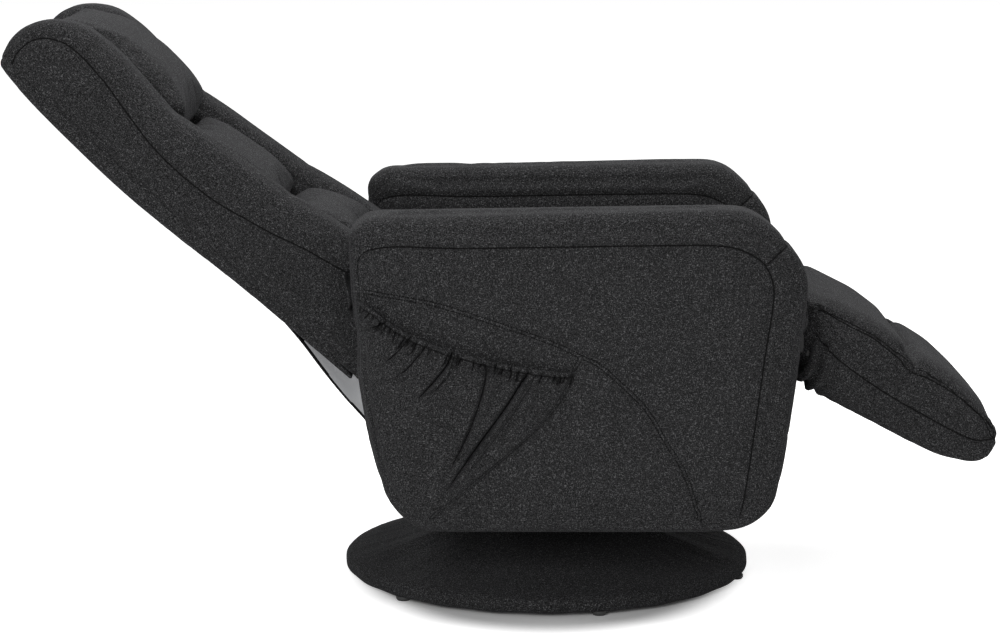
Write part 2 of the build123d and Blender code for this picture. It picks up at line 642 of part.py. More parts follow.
# Side pocket on the right arm: a thin bulged panel, open along its sloping top edge.
POCKET_DEPTH = 13.0
POCKET_WALL = 2.5
POCKET_OUTLINE = [
    (-203, 486),
    (-174, 471),
    (-108, 446),
    (-41, 427),
    (26, 412),
    (96, 397),
    (86, 354),
    (56, 316),
    (11, 273),
    (-42, 227),
    (-92, 186),
    (-124, 186),
    (-152, 216),
    (-164, 262),
    (-174, 320),
    (-188, 390),
    (-196, 440),
]
with BuildPart() as side_pocket:
    with BuildSketch(side_plane(-ARM_OUTER_Y)) as pocket_face:
        with BuildLine():
            Polyline(*POCKET_OUTLINE, close=True)
        make_face()
    extrude(amount=POCKET_DEPTH, taper=30)
    with BuildSketch(side_plane(-ARM_OUTER_Y)):
        with BuildLine():
            Polyline(*POCKET_OUTLINE, close=True)
        make_face()
        offset(amount=-5, mode=Mode.REPLACE)
        with BuildLine():
            Polyline(
                (-180, 474),
                (-108, 452),
                (-41, 433),
                (26, 418),
                (82, 405),
                (76, 375),
                (-104, 400),
                (-174, 440),
                close=True,
            )
        make_face()
    extrude(amount=POCKET_DEPTH - POCKET_WALL, taper=30, mode=Mode.SUBTRACT)

# Wooden rear rail between the arms, low behind the seat.
RAIL_TOP = 240.0
RAIL_H = 40.0
RAIL_T = 22.0
RAIL_X = -172.0
with BuildPart() as rear_rail:
    with BuildSketch(Plane.XY.offset(RAIL_TOP - RAIL_H)):
        with Locations((RAIL_X, 0)):
            Rectangle(RAIL_T, 2 * (ARM_INNER_Y - 0.5))
    extrude(amount=RAIL_H)

# Rear skirt: thin lined cloth from the rear rail up to the back's rear face.
SKIRT_T = 1.6
SKIRT_HALF_W = CUSHION_CORE_Y
SKIRT_X = RAIL_X - RAIL_T / 2 - 0.2
SKIRT_LOW = RAIL_TOP - RAIL_H + 4
SKIRT_TOP = (-345.0, 450.0)
with BuildPart() as rear_skirt:
    with BuildSketch(side_plane(SKIRT_HALF_W)):
        with BuildLine():
            skirt_end = (SKIRT_TOP[0] + 1.2, SKIRT_TOP[1] + 1)
            bend = (SKIRT_X - 12.8, RAIL_TOP + 28)
            inner_bend = (bend[0] + SKIRT_T, bend[1] + 1)
            rear_x = SKIRT_X - SKIRT_T
            Polyline((rear_x, SKIRT_LOW), (rear_x, RAIL_TOP + 6), bend, SKIRT_TOP, skirt_end)
            Polyline(skirt_end, inner_bend, (SKIRT_X, RAIL_TOP + 7), (SKIRT_X, SKIRT_LOW))
            Line((SKIRT_X, SKIRT_LOW), (rear_x, SKIRT_LOW))
        make_face()
    extrude(amount=2 * SKIRT_HALF_W)

# ================================================================ back
# Timber frame: two stiles, three rails.
STILE_OUT_Y = LEVER_Y
STILE_W = 25.0
STILE_LOW = 62.0
STILE_HIGH = 735.0
STILE_BACK = -5.0
RAIL_FRONT = 15.0
with BuildPart() as back_frame:
    for sy in (-1, 1):
        with BuildSketch(back_plane(min(sy * STILE_OUT_Y, sy * (STILE_OUT_Y - STILE_W)))):
            with BuildLine():
                Polyline(
                    (STILE_LOW, STILE_BACK),
                    (STILE_HIGH, STILE_BACK),
                    (STILE_HIGH, RAIL_FRONT + 15),
                    (STILE_LOW, RAIL_FRONT + 19),
                    close=True,
                )
            make_face()
        extrude(amount=STILE_W)
    for low, high in ((STILE_LOW, STILE_LOW + 48), (392, 428), (STILE_HIGH - 38, STILE_HIGH)):
        with BuildSketch(back_plane(-(STILE_OUT_Y - STILE_W))):
            with BuildLine():
                Polyline(
                    (low, STILE_BACK),
                    (high, STILE_BACK),
                    (high, RAIL_FRONT),
                    (low, RAIL_FRONT),
                    close=True,
                )
            make_face()
        extrude(amount=2 * (STILE_OUT_Y - STILE_W))

# Webbing strapped across the front of the frame rails.
WEB_T = 2.0
with BuildPart() as back_webbing:
    for web_y in (-105, -35, 35, 105):
        with BuildSketch(back_plane(web_y - 25)):
            with BuildLine():
                web_ends = (STILE_LOW + 4, STILE_HIGH - 4)
                web_front = RAIL_FRONT + WEB_T
                Polyline(
                    (web_ends[0], RAIL_FRONT),
                    (web_ends[1], RAIL_FRONT),
                    (web_ends[1], web_front),
                    (web_ends[0], web_front),
                    close=True,
                )
            make_face()
        extrude(amount=50)

# Steel levers of the back: from the link pin over the pivot and up the stiles.
back_levers = {}
for side, sy in SIDES:
    with BuildPart() as lever:
        with BuildSketch(side_plane(max(sy * LEVER_Y, sy * (LEVER_Y + LEVER_T)))):
            strap(RECLINE_PIVOT, back_pin, 24)
            strap(RECLINE_PIVOT, on_back(155, 14), 26)
            with Locations(RECLINE_PIVOT):
                Circle(PIVOT_R + RUNNING_FIT, mode=Mode.SUBTRACT)
        extrude(amount=LEVER_T)
    back_levers[side] = lever.part

# Link pins: riveted in the ends of the levers, with a head outside the rods.
HEAD_Y = ROD_Y + ROD_T + 0.4
link_pins = {}
for name, centre in (("back", back_pin), ("footrest", foot_pin)):
    with BuildPart() as pins:
        for side, sy in SIDES:
            for radius, near, far in (
                (LINK_PIN_R, LEVER_Y + LEVER_T, HEAD_Y),
                (8.5, HEAD_Y, HEAD_Y + 2),
                (7.5, LEVER_Y + LEVER_T, ROD_Y - 0.4),
            ):
                with BuildSketch(side_plane(max(sy * near, sy * far))):
                    with Locations(centre):
                        Circle(radius)
                extrude(amount=far - near)
    link_pins[name] = pins.part

# Rear panel of the back, padded, bowed outwards across its height.
SHELL_REAR = [
    (36, -14),
    (120, -16),
    (207, -18),
    (310, -23),
    (417, -31),
    (500, -34),
    (630, -29),
    (702, -23),
    (762, -13),
]
SHELL_SECTION_V = 2.0
SHELL_SECTION_H = 76.0
SHELL_EDGE_R = 20.0
with BuildPart() as back_shell:
    with BuildSketch(back_plane(-BACK_HALF_W)):
        with BuildLine():
            Spline(*SHELL_REAR)
            Polyline(SHELL_REAR[-1], (762, -5.3), (96, -5.3), (60, -12.5), SHELL_REAR[0])
        make_face()
    extrude(amount=2 * BACK_HALF_W)
    up_back = back_plane(0).x_dir
    with BuildSketch(Plane(origin=on_back_point(0, SHELL_SECTION_V), x_dir=(0, 1, 0), z_dir=up_back)):
        RectangleRounded(2 * BACK_HALF_W, SHELL_SECTION_H, SHELL_EDGE_R)
    extrude(amount=800, mode=Mode.INTERSECT)

# Side wings: foam round the stiles and levers, with the crest seen over the arms.
WING_CREST = [
    (56, 172),
    (110, 164),
    (158, 157),
    (206, 150),
    (256, 141),
    (290, 132),
    (370, 122),
    (418, 116),
    (468, 112),
    (512, 105),
    (545, 106),
    (591, 112),
    (637, 117),
    (678, 116),
    (709, 111),
    (739, 95),
    (762, 72),
    (775, 45),
    (777, 20),
    (770, -4.9),
]
low_in = (60, sqrt(SWEEP_R**2 - 60**2))
low_mid = (SWEEP_R * cos(radians(45)), SWEEP_R * sin(radians(45)))
low_out = (sqrt(SWEEP_R**2 - 60**2), 60)
wings = {}
for side, sy in SIDES:
    with BuildPart() as wing:
        with BuildSketch(back_plane(min(sy * WING_INNER_Y, sy * BACK_HALF_W))):
            with BuildLine():
                Spline(*WING_CREST)
                Polyline(WING_CREST[-1], (56, -4.9), WING_CREST[0])
            make_face()
        extrude(amount=BACK_HALF_W - WING_INNER_Y)
        crest = wing.edges().filter_by(GeomType.BSPLINE)
        fillet(crest, radius=30)
        with BuildSketch(back_plane(min(sy * WING_INNER_Y, sy * BACK_HALF_W) - 1)):
            with BuildLine():
                Polyline((158, 220), (158, 120), (152, 66), low_out)
                ThreePointArc(low_out, low_mid, low_in)
                Polyline(low_in, (60, -20), (20, -20), (20, 220), (158, 220))
            make_face()
        extrude(amount=BACK_HALF_W - WING_INNER_Y + 2, mode=Mode.SUBTRACT)
        add(back_frame.part, mode=Mode.SUBTRACT)
        add(back_levers[side], mode=Mode.SUBTRACT)
    wings[side] = wing.part

# Pads of the back: a head pillow and two pads below it, each crowned with rounded corners.
PAD_BACK_V = 17.5
PAD_HALF_W = WING_INNER_Y - 1.0
PADS = {
    "head_pillow": [(497, 116, 26), (590, 129, 150), (690, 120, 60), (756, 80, 26)],
    "back_pad_middle": [(293, 108, 22), (343, 113, 60), (440, 100, 80), (491, 88, 22)],
    "back_pad_lower": [(160, 158, 24), (227, 142, 80), (286, 114, 22)],
}


def pad_face(crown, start, end):
    """Face of a pad's side outline: a crown of corners with radii, closed by a start and an end."""
    with BuildSketch(mode=Mode.PRIVATE) as outline:
        with BuildLine():
            Polyline(start, *[(x, y) for x, y, r in crown], end, close=True)
        make_face()
        for x, y, r in crown:
            fillet(outline.vertices().sort_by_distance((x, y, 0))[0], radius=r)
    return outline.sketch


pads = {}
for name, crown in PADS.items():
    pad_outline = pad_face(crown, (crown[0][0], PAD_BACK_V), (crown[-1][0], PAD_BACK_V))
    with BuildPart() as cushion:
        with BuildSketch(back_plane(-PAD_HALF_W)):
            add(pad_outline)
        extrude(amount=2 * PAD_HALF_W)
        fillet(cushion.faces().filter_by(Axis.Y).edges(), radius=13)
    pads[name] = cushion.part

# Lower part of the back between the wings, under the lower pad.
with BuildPart() as back_base_pad:
    with BuildSketch(back_plane(-PAD_HALF_W)):
        with BuildLine():
            ThreePointArc(low_in, low_mid, low_out)
            Polyline(low_out, (159, 60), (159, PAD_BACK_V), (60, PAD_BACK_V), low_in)
        make_face()
    extrude(amount=2 * PAD_HALF_W)

# ================================================================ footrest
BOARD_Q = -6.0
BOARD_THICK = 12.0
BOARD_START = 70.0
BOARD_END = 378.0
with BuildPart() as footrest_board:
    with BuildSketch(footrest_plane(LEVER_Y)):
        with BuildLine():
            board_top = BOARD_Q + BOARD_THICK
            Polyline(
                (BOARD_START, BOARD_Q),
                (BOARD_END, BOARD_Q),
                (BOARD_END, board_top),
                (BOARD_START, board_top),
                close=True,
            )
        make_face()
    extrude(amount=2 * LEVER_Y)

# Footrest brackets: from the link pin over the pivot to a flange under the board.
brackets = {}
for side, sy in SIDES:
    with BuildPart() as bracket:
        with BuildSketch(side_plane(max(sy * LEVER_Y, sy * (LEVER_Y + LEVER_T)))):
            strap(FOOT_PIVOT, foot_pin, 20)
            strap(FOOT_PIVOT, on_footrest(180, -8), 24)
            with Locations(FOOT_PIVOT):
                Circle(PIVOT_R + RUNNING_FIT, mode=Mode.SUBTRACT)
        extrude(amount=LEVER_T)
        with BuildSketch(footrest_plane(max(sy * LEVER_Y, sy * (LEVER_Y - 28)))):
            with BuildLine():
                Polyline((95, BOARD_Q - 4), (180, BOARD_Q - 4), (180, BOARD_Q), (95, BOARD_Q), close=True)
            make_face()
        extrude(amount=28)
    brackets[side] = bracket.part

# Upholstered lower panel of the footrest.
SHELL_UNDER = [
    (399, 13),
    (395, -8),
    (385, -21),
    (367, -30),
    (337, -38),
    (300, -43),
    (242, -46.5),
    (193, -49.5),
    (149, -51),
    (112, -52),
    (92, -49),
    (81, -40),
]
FOOT_SECTION_Q = 4.0
FOOT_SECTION_H = 114.0
FOOT_EDGE_R = 24.0
with BuildPart() as footrest_shell:
    with BuildSketch(footrest_plane(FOOTREST_HALF_W)):
        with BuildLine():
            Spline(*SHELL_UNDER)
            Polyline(SHELL_UNDER[-1], (58, 13), SHELL_UNDER[0])
        make_face()
    extrude(amount=2 * FOOTREST_HALF_W)
    out_footrest = footrest_plane(0).x_dir
    shell_x, shell_z = on_footrest(0, FOOT_SECTION_Q)
    with BuildSketch(Plane(origin=(shell_x, 0, shell_z), x_dir=(0, 1, 0), z_dir=out_footrest)):
        RectangleRounded(2 * FOOTREST_HALF_W, FOOT_SECTION_H, FOOT_EDGE_R)
    extrude(amount=500, mode=Mode.INTERSECT)
    add(footrest_board.part, mode=Mode.SUBTRACT)
    for side in brackets:
        add(brackets[side], mode=Mode.SUBTRACT)

# Two footrest pads with the channel between them.
FOOT_PADS = {
    "footrest_pad_upper": [(30, 62, 10), (40, 77, 14), (150, 84, 140), (228, 75, 16)],
    "footrest_pad_lower": [(229, 75, 16), (300, 73, 120), (372, 56, 60), (399, 36, 14)],
}
FOOT_PAD_STARTS = {"footrest_pad_upper": 58, "footrest_pad_lower": 229}
foot_pads = {}
for name, crown in FOOT_PADS.items():
    pad_outline = pad_face(crown, (FOOT_PAD_STARTS[name], 13.3), (crown[-1][0], 13.3))
    with BuildPart() as cushion:
        with BuildSketch(footrest_plane(FOOTREST_HALF_W)):
            add(pad_outline)
        extrude(amount=2 * FOOTREST_HALF_W)
        fillet(cushion.faces().filter_by(Axis.Y).edges(), radius=9)
        for side in brackets:
            add(brackets[side], mode=Mode.SUBTRACT)
    foot_pads[name] = cushion.part

# ================================================================ link rods
link_rods = {}
for side, sy in SIDES:
    with BuildPart() as rod:
        with BuildSketch(link_plane(max(sy * ROD_Y, sy * (ROD_Y + ROD_T)))):
            with Locations((rod_length / 2, 0)):
                SlotCenterToCenter(rod_length, 18)
            Circle(LINK_PIN_R + RUNNING_FIT, mode=Mode.SUBTRACT)
            with Locations((rod_length, -1.1)):
                slot_width = 2 * (LINK_PIN_R + SLOT_CLEARANCE)
                SlotCenterToCenter(SLOT_LENGTH, slot_width, rotation=90, mode=Mode.SUBTRACT)
        extrude(amount=ROD_T)
    link_rods[side] = rod.part

# ================================================================ export
pieces = {
    "base_ring": base_ring.part,
    "base_feet": base_feet.part,
    "hub_plate": hub_plate.part,
    "base_star": base_star.part,
    "base_cover": base_cover.part,
    "cover_band": cover_band.part,
    "bearing_lower": bearing_lower.part,
    "bearing_balls": bearing_balls.part,
    "ball_cage": ball_cage.part,
    "king_bolt": king_bolt.part,
    "race_bolts": race_bolts.part,
    "bearing_upper": bearing_upper.part,
    "swivel_plate": swivel_plate.part,
    "swivel_bars": swivel_bars.part,
    "cross_rails": cross_rails.part,
    "chassis_bolts": chassis_bolts.part,
    "side_plate_right": side_plates["right"],
    "side_plate_left": side_plates["left"],
    "cross_tubes": cross_tubes.part,
    "pivot_pins": pivot_pins.part,
    "seat_board": seat_board.part,
    "seat_springs": seat_springs.part,
    "seat_deck": seat_deck.part,
    "seat_cushion": seat_cushion.part,
    "arm_board_right": arm_boards["right"],
    "arm_board_left": arm_boards["left"],
    "arm_bolts": arm_bolts.part,
    "arm_right": arm_bodies["right"],
    "arm_left": arm_bodies["left"],
    "side_pocket": side_pocket.part,
    "rear_rail": rear_rail.part,
    "rear_skirt": rear_skirt.part,
    "back_frame": back_frame.part,
    "back_webbing": back_webbing.part,
    "back_lever_right": back_levers["right"],
    "back_lever_left": back_levers["left"],
    "back_link_pins": link_pins["back"],
    "back_shell": back_shell.part,
    "wing_right": wings["right"],
    "wing_left": wings["left"],
    "back_base_pad": back_base_pad.part,
    "head_pillow": pads["head_pillow"],
    "back_pad_middle": pads["back_pad_middle"],
    "back_pad_lower": pads["back_pad_lower"],
    "footrest_board": footrest_board.part,
    "footrest_bracket_right": brackets["right"],
    "footrest_bracket_left": brackets["left"],
    "footrest_link_pins": link_pins["footrest"],
    "footrest_shell": footrest_shell.part,
    "footrest_pad_upper": foot_pads["footrest_pad_upper"],
    "footrest_pad_lower": foot_pads["footrest_pad_lower"],
    "link_rod_right": link_rods["right"],
    "link_rod_left": link_rods["left"],
}
for name, shape in pieces.items():
    shape.label = name
    export_step(shape, "parts/" + name + ".step")
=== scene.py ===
"""Reclining armchair in black melange cloth on a round swivel base, dressed over its CAD frame.

Metres. +X is the way the chair faces, +Y the sitter's left, +Z up, origin on the floor.
"""

import json
from math import cos, pi, radians, sin

import bpy
import numpy as np
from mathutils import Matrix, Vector
from mathutils.bvhtree import BVHTree

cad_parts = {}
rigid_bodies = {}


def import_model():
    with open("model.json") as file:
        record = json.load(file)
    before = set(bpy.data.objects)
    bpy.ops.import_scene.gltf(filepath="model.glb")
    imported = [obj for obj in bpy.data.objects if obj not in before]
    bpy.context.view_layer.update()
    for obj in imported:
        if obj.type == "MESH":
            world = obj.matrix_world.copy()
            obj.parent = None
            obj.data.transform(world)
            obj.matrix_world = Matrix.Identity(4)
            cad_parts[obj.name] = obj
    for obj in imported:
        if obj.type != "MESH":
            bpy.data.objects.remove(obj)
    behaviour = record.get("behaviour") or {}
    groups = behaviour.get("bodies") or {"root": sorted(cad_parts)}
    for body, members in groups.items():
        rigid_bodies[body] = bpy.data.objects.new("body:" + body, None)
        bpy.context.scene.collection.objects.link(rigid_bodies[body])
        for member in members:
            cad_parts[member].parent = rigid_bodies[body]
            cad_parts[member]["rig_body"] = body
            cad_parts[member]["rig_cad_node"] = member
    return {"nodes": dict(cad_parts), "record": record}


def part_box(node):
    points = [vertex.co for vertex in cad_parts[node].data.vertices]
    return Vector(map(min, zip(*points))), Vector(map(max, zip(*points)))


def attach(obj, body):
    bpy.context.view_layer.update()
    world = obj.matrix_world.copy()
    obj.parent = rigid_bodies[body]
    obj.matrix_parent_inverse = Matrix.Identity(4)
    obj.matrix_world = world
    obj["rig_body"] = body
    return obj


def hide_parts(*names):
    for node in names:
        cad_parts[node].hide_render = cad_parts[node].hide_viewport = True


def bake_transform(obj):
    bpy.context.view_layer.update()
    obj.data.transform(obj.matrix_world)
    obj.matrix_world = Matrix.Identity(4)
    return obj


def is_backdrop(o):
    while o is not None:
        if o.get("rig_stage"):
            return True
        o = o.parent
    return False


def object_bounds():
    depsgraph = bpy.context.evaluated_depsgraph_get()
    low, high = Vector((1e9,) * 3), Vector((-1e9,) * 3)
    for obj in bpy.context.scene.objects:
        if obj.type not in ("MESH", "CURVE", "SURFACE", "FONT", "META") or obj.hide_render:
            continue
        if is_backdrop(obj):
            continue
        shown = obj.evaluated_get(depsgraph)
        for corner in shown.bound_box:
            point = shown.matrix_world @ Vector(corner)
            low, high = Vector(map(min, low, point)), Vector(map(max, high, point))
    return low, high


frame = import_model()
cad_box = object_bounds()
bpy.ops.object.select_all(action="DESELECT")

# ---------------------------------------------------------------- camera
# Stands far back on the sitter's right with a long lens, a little higher than the head's
# crest, and looks down slightly, so that the near arm and both ends of the chair show.
camera_data = bpy.data.cameras.new("camera")
camera_data.sensor_width = 36.0
camera_data.lens = 105.93
camera = bpy.data.objects.new("camera", camera_data)
camera.location = (0.0047, -4.682, 1.1953)
camera.rotation_euler = (pi / 2 - 0.1663, 0.0, 0.002)
bpy.context.scene.collection.objects.link(camera)
bpy.context.scene.camera = camera

# ---------------------------------------------------------------- floor and light
# Pale plain floor that shows white to the camera and keeps the shadow of the chair,
# under a white sky and two broad soft lamps.
bpy.ops.mesh.primitive_plane_add(size=30, location=(0, 0, -0.0005))
floor = bpy.context.object
floor.name = "floor"
floor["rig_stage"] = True


def node(tree, kind, inputs=None, **settings):
    """Adds a shader node, with its settings, plain input values and links."""
    made = tree.nodes.new(kind)
    for key, value in settings.items():
        setattr(made, key, value)
    for key, value in (inputs or {}).items():
        if isinstance(value, bpy.types.NodeSocket):
            tree.links.new(value, made.inputs[key])
        else:
            made.inputs[key].default_value = value
    return made


def maths(tree, operation, *values):
    """The result of one step of arithmetic on numbers or sockets."""
    return node(tree, "ShaderNodeMath", dict(enumerate(values)), operation=operation).outputs[0]


def ranged(tree, value, taken=(0.0, 1.0), given=(0.0, 1.0), **settings):
    """A value carried from the range taken to the range given."""
    inputs = {"Value": value, "From Min": taken[0], "From Max": taken[1]}
    inputs.update({"To Min": given[0], "To Max": given[1]})
    return node(tree, "ShaderNodeMapRange", inputs, **settings).outputs["Result"]


def new_material(name):
    """An empty node material with its output node."""
    material = bpy.data.materials.new(name)
    material.use_nodes = True
    material.node_tree.nodes.clear()
    return material, material.node_tree, node(material.node_tree, "ShaderNodeOutputMaterial")


material, tree, out = new_material("floor_white")
grain = node(tree, "ShaderNodeTexNoise", {"Scale": 3.0, "Detail": 2.0})
tone = ranged(tree, grain.outputs["Fac"], given=(0.9, 0.93))
matt = node(tree, "ShaderNodeBsdfDiffuse", {"Color": tone})
# Outside an oval round the base the floor is lit up to white, so only the shadow near it shows.
OVAL_SHIFT = (-0.2328, 0.0, 0.0)
OVAL_SCALE = (3.279, 2.439, 1.0)
OVAL_EDGE = (0.865, 1.1)  # the light grows between these distances, in ovals
GLOW = (0.02, 0.86)
place = node(tree, "ShaderNodeTexCoord").outputs["Object"]
oval = {"Vector": place, "Location": OVAL_SHIFT, "Scale": OVAL_SCALE}
ringed = node(tree, "ShaderNodeMapping", oval).outputs[0]
away = node(tree, "ShaderNodeVectorMath", {0: ringed}, operation="LENGTH").outputs["Value"]
paper = ranged(tree, away, OVAL_EDGE, GLOW, interpolation_type="SMOOTHSTEP")
bright = node(tree, "ShaderNodeEmission", {"Color": (1, 1, 1, 1), "Strength": paper})
added = node(tree, "ShaderNodeAddShader", {0: matt.outputs[0], 1: bright.outputs[0]})
path = node(tree, "ShaderNodeLightPath")
seen = node(
    tree,
    "ShaderNodeMixShader",
    {0: path.outputs["Is Camera Ray"], 1: matt.outputs[0], 2: added.outputs[0]},
)
tree.links.new(seen.outputs[0], out.inputs["Surface"])
floor.data.materials.append(material)

world = bpy.data.worlds.new("studio")
bpy.context.scene.world = world
world.use_nodes = True
world.node_tree.nodes.clear()
tree = world.node_tree
# The sky shows white, and lights the chair less than it shows.
SKY_FILL = 0.26
ray = node(tree, "ShaderNodeLightPath").outputs
direct = maths(tree, "ADD", ray["Is Camera Ray"], ray["Is Glossy Ray"])
clear = maths(tree, "ADD", direct, ray["Is Transmission Ray"])
level = ranged(tree, clear, given=(SKY_FILL, 1.0))
sky = node(tree, "ShaderNodeBackground", {"Color": (1, 1, 1, 1), "Strength": level})
node(tree, "ShaderNodeOutputWorld", {"Surface": sky.outputs[0]})

# Two broad soft lamps: one over the chair, one low on the camera's side.
for name, place, aim, size, power in (
    ("lamp_over", (0.2, 0.3, 3.2), (0.1, 0.0, 0.4), 2.4, 76.0),
    ("lamp_side", (-1.1, -4.0, 1.9), (0.0, 0.0, 0.4), 1.6, 68.0),
):
    lamp = bpy.data.lights.new(name, "AREA")
    lamp.size = size
    lamp.energy = power
    holder = bpy.data.objects.new(name, lamp)
    holder.location = place
    holder.rotation_euler = (Vector(aim) - Vector(place)).to_track_quat("-Z", "Y").to_euler()
    bpy.context.scene.collection.objects.link(holder)
bpy.context.scene.view_settings.view_transform = "Standard"

# ---------------------------------------------------------------- black melange cloth
# Plain weave of charcoal yarn with light flecks spun in. It covers the cushions, the arms, the
# back and the base, cut in panels that are sewn at their edges or topstitched.
DARK_YARN = (0.0065, 0.0065, 0.0068, 1)
MID_YARN = (0.0335, 0.0335, 0.0345, 1)
FLECK = (0.165, 0.165, 0.17, 1)
THREAD_PITCH = 0.0013


def noise(tree, place, scale, detail):
    """Noise at a place, from 0 to 1."""
    inputs = {"Vector": place, "Scale": scale, "Detail": detail}
    return node(tree, "ShaderNodeTexNoise", inputs).outputs["Fac"]


def tone_between(tree, share, first, second):
    """A colour that goes from the first to the second as the share goes from 0 to 1."""
    inputs = {"Fac": share, "Color1": first, "Color2": second}
    return node(tree, "ShaderNodeMixRGB", inputs).outputs["Color"]


def slubs(tree, place, stretch, seed):
    """Mask of short light flecks drawn out along one thread direction."""
    moved = node(tree, "ShaderNodeMapping", {"Vector": place, "Location": seed, "Scale": stretch})
    return ranged(tree, noise(tree, moved.outputs[0], 1.0, 1.0), (0.63, 0.76))


def node_group(name, takes, gives):
    """An empty shader group with its named inputs and outputs, each with its kind."""
    group = bpy.data.node_groups.new(name, "ShaderNodeTree")
    for way, sockets in (("INPUT", takes), ("OUTPUT", gives)):
        for label, kind in sockets.items():
            group.interface.new_socket(label, in_out=way, socket_type=f"NodeSocket{kind}")
    return group


weave = node_group(
    "melange_weave",
    {"Place": "Vector", "Facing": "Vector"},
    {"Color": "Color", "Rough": "Float", "Height": "Float"},
)
inside = node(weave, "NodeGroupInput")
place = inside.outputs["Place"]
broad = noise(weave, place, 14.0, 3.0)
fine = noise(weave, place, 640.0, 1.0)
along = slubs(weave, place, (280.0, 900.0, 900.0), (3.0, 1.0, 7.0))
upward = slubs(weave, place, (900.0, 900.0, 290.0), (9.0, 5.0, 2.0))
sideways = slubs(weave, place, (900.0, 280.0, 900.0), (4.0, 8.0, 6.0))
flecks = maths(weave, "MAXIMUM", maths(weave, "MAXIMUM", along, upward), sideways)
yarn = tone_between(weave, ranged(weave, fine, (0.38, 0.64)), DARK_YARN, MID_YARN)
patchy = ranged(weave, broad, given=(0.82, 1.18))
shaded = node(weave, "ShaderNodeVectorMath", {0: yarn, 1: patchy}, operation="MULTIPLY")
flecked = tone_between(weave, flecks, shaded.outputs[0], FLECK)
rough = ranged(weave, fine, given=(0.82, 0.97))
# The relief is that of two sets of threads, in whichever plane the surface faces.
axes = node(weave, "ShaderNodeSeparateXYZ", {"Vector": place}).outputs
facing = node(weave, "ShaderNodeSeparateXYZ", {"Vector": inside.outputs["Facing"]}).outputs
turns = [maths(weave, "MULTIPLY", axes[axis], pi / THREAD_PITCH) for axis in "XYZ"]
waves = [maths(weave, "SINE", turn) for turn in turns]
threads = 0.0
for axis, (first, second) in zip("XYZ", ((1, 2), (0, 2), (0, 1))):
    crossing = maths(weave, "MULTIPLY", waves[first], waves[second])
    share = maths(weave, "MULTIPLY", crossing, maths(weave, "ABSOLUTE", facing[axis]))
    threads = maths(weave, "ADD", threads, share)
lumps = maths(weave, "ADD", fine, flecks)
height = maths(weave, "MULTIPLY_ADD", threads, 0.35, lumps)
node(weave, "NodeGroupOutput", {"Color": flecked, "Rough": rough, "Height": height})

# Sewn lines. "seam" is a point's distance from a joint between panels, and on the pocket also from
# the crease of a deep fold; "stitch" its distance from the middle of two rows of topstitching, and
# "run" its distance along them, in metres. A dark line is drawn along each "seam": at a joint
# it is the joint's own dark line, along a crease it is painted shade.
ROW_OFFSET = 0.0026
STITCH_LENGTH = 0.0042
sewn_lines_and_crease_shade = node_group(
    "sewn_lines_and_crease_shade", {"Color": "Color", "Height": "Float"}, {"Color": "Color", "Height": "Float"}
)
inside = node(sewn_lines_and_crease_shade, "NodeGroupInput").outputs
away, beside, run = (
    node(sewn_lines_and_crease_shade, "ShaderNodeAttribute", attribute_name=name).outputs["Fac"]
    for name in ("seam", "stitch", "run")
)
# Dark along a "seam": a dark joint, and painted shade where it marks a pocket crease.
seam_and_painted_crease_shade = ranged(sewn_lines_and_crease_shade, maths(sewn_lines_and_crease_shade, "ABSOLUTE", away), (0.0003, 0.0020), (1.0, 0.0))
off = maths(sewn_lines_and_crease_shade, "SUBTRACT", maths(sewn_lines_and_crease_shade, "ABSOLUTE", beside), ROW_OFFSET)
row = ranged(sewn_lines_and_crease_shade, maths(sewn_lines_and_crease_shade, "ABSOLUTE", off), (0.0005, 0.0014), (1.0, 0.0))
beat = maths(sewn_lines_and_crease_shade, "SINE", maths(sewn_lines_and_crease_shade, "MULTIPLY", run, 2 * pi / STITCH_LENGTH))
dash = ranged(sewn_lines_and_crease_shade, beat, (-0.6, 0.1), (1.0, 0.5))
both = maths(sewn_lines_and_crease_shade, "MAXIMUM", seam_and_painted_crease_shade, maths(sewn_lines_and_crease_shade, "MULTIPLY", row, dash))
sewn = tone_between(sewn_lines_and_crease_shade, both, inside["Color"], (0.003, 0.003, 0.003, 1))
dip = maths(sewn_lines_and_crease_shade, "MULTIPLY_ADD", both, -3.0, inside["Height"])
node(sewn_lines_and_crease_shade, "NodeGroupOutput", {"Color": sewn, "Height": dip})


def surface(tree, out, relief, inputs, strength, distance):
    """Joins a surface with these inputs, bumped by a relief, to the material's output."""
    bumps = {"Height": relief, "Strength": strength, "Distance": distance}
    bump = node(tree, "ShaderNodeBump", bumps).outputs[0]
    skin = node(tree, "ShaderNodeBsdfPrincipled", {**inputs, "Normal": bump})
    tree.links.new(skin.outputs[0], out.inputs["Surface"])


def cloth(name, turn=0.0, seamed=True):
    """Melange cloth with its threads turned about Y by degrees, with or without sewn lines and
    painted crease shade.
    """
    material, tree, out = new_material(name)
    where = node(tree, "ShaderNodeTexCoord").outputs
    turned = {}
    for socket, label in (("Object", "Place"), ("Normal", "Facing")):
        spin = {"Vector": where[socket], "Angle": radians(turn)}
        spun = node(tree, "ShaderNodeVectorRotate", spin, rotation_type="Y_AXIS")
        turned[label] = spun.outputs[0]
    woven = node(tree, "ShaderNodeGroup", turned, node_tree=weave).outputs
    top = {"Color": woven["Color"], "Height": woven["Height"]}
    if seamed:
        top = node(tree, "ShaderNodeGroup", top, node_tree=sewn_lines_and_crease_shade).outputs
    inputs = {
        "Base Color": top["Color"],
        "Roughness": woven["Rough"],
        "Specular IOR Level": 0.08,
        "Sheen Weight": 0.03,
        "Sheen Roughness": 0.5,
        "Sheen Tint": (0.75, 0.75, 0.8, 1),
    }
    surface(tree, out, top["Height"], inputs, strength=0.5, distance=0.0005)
    return material


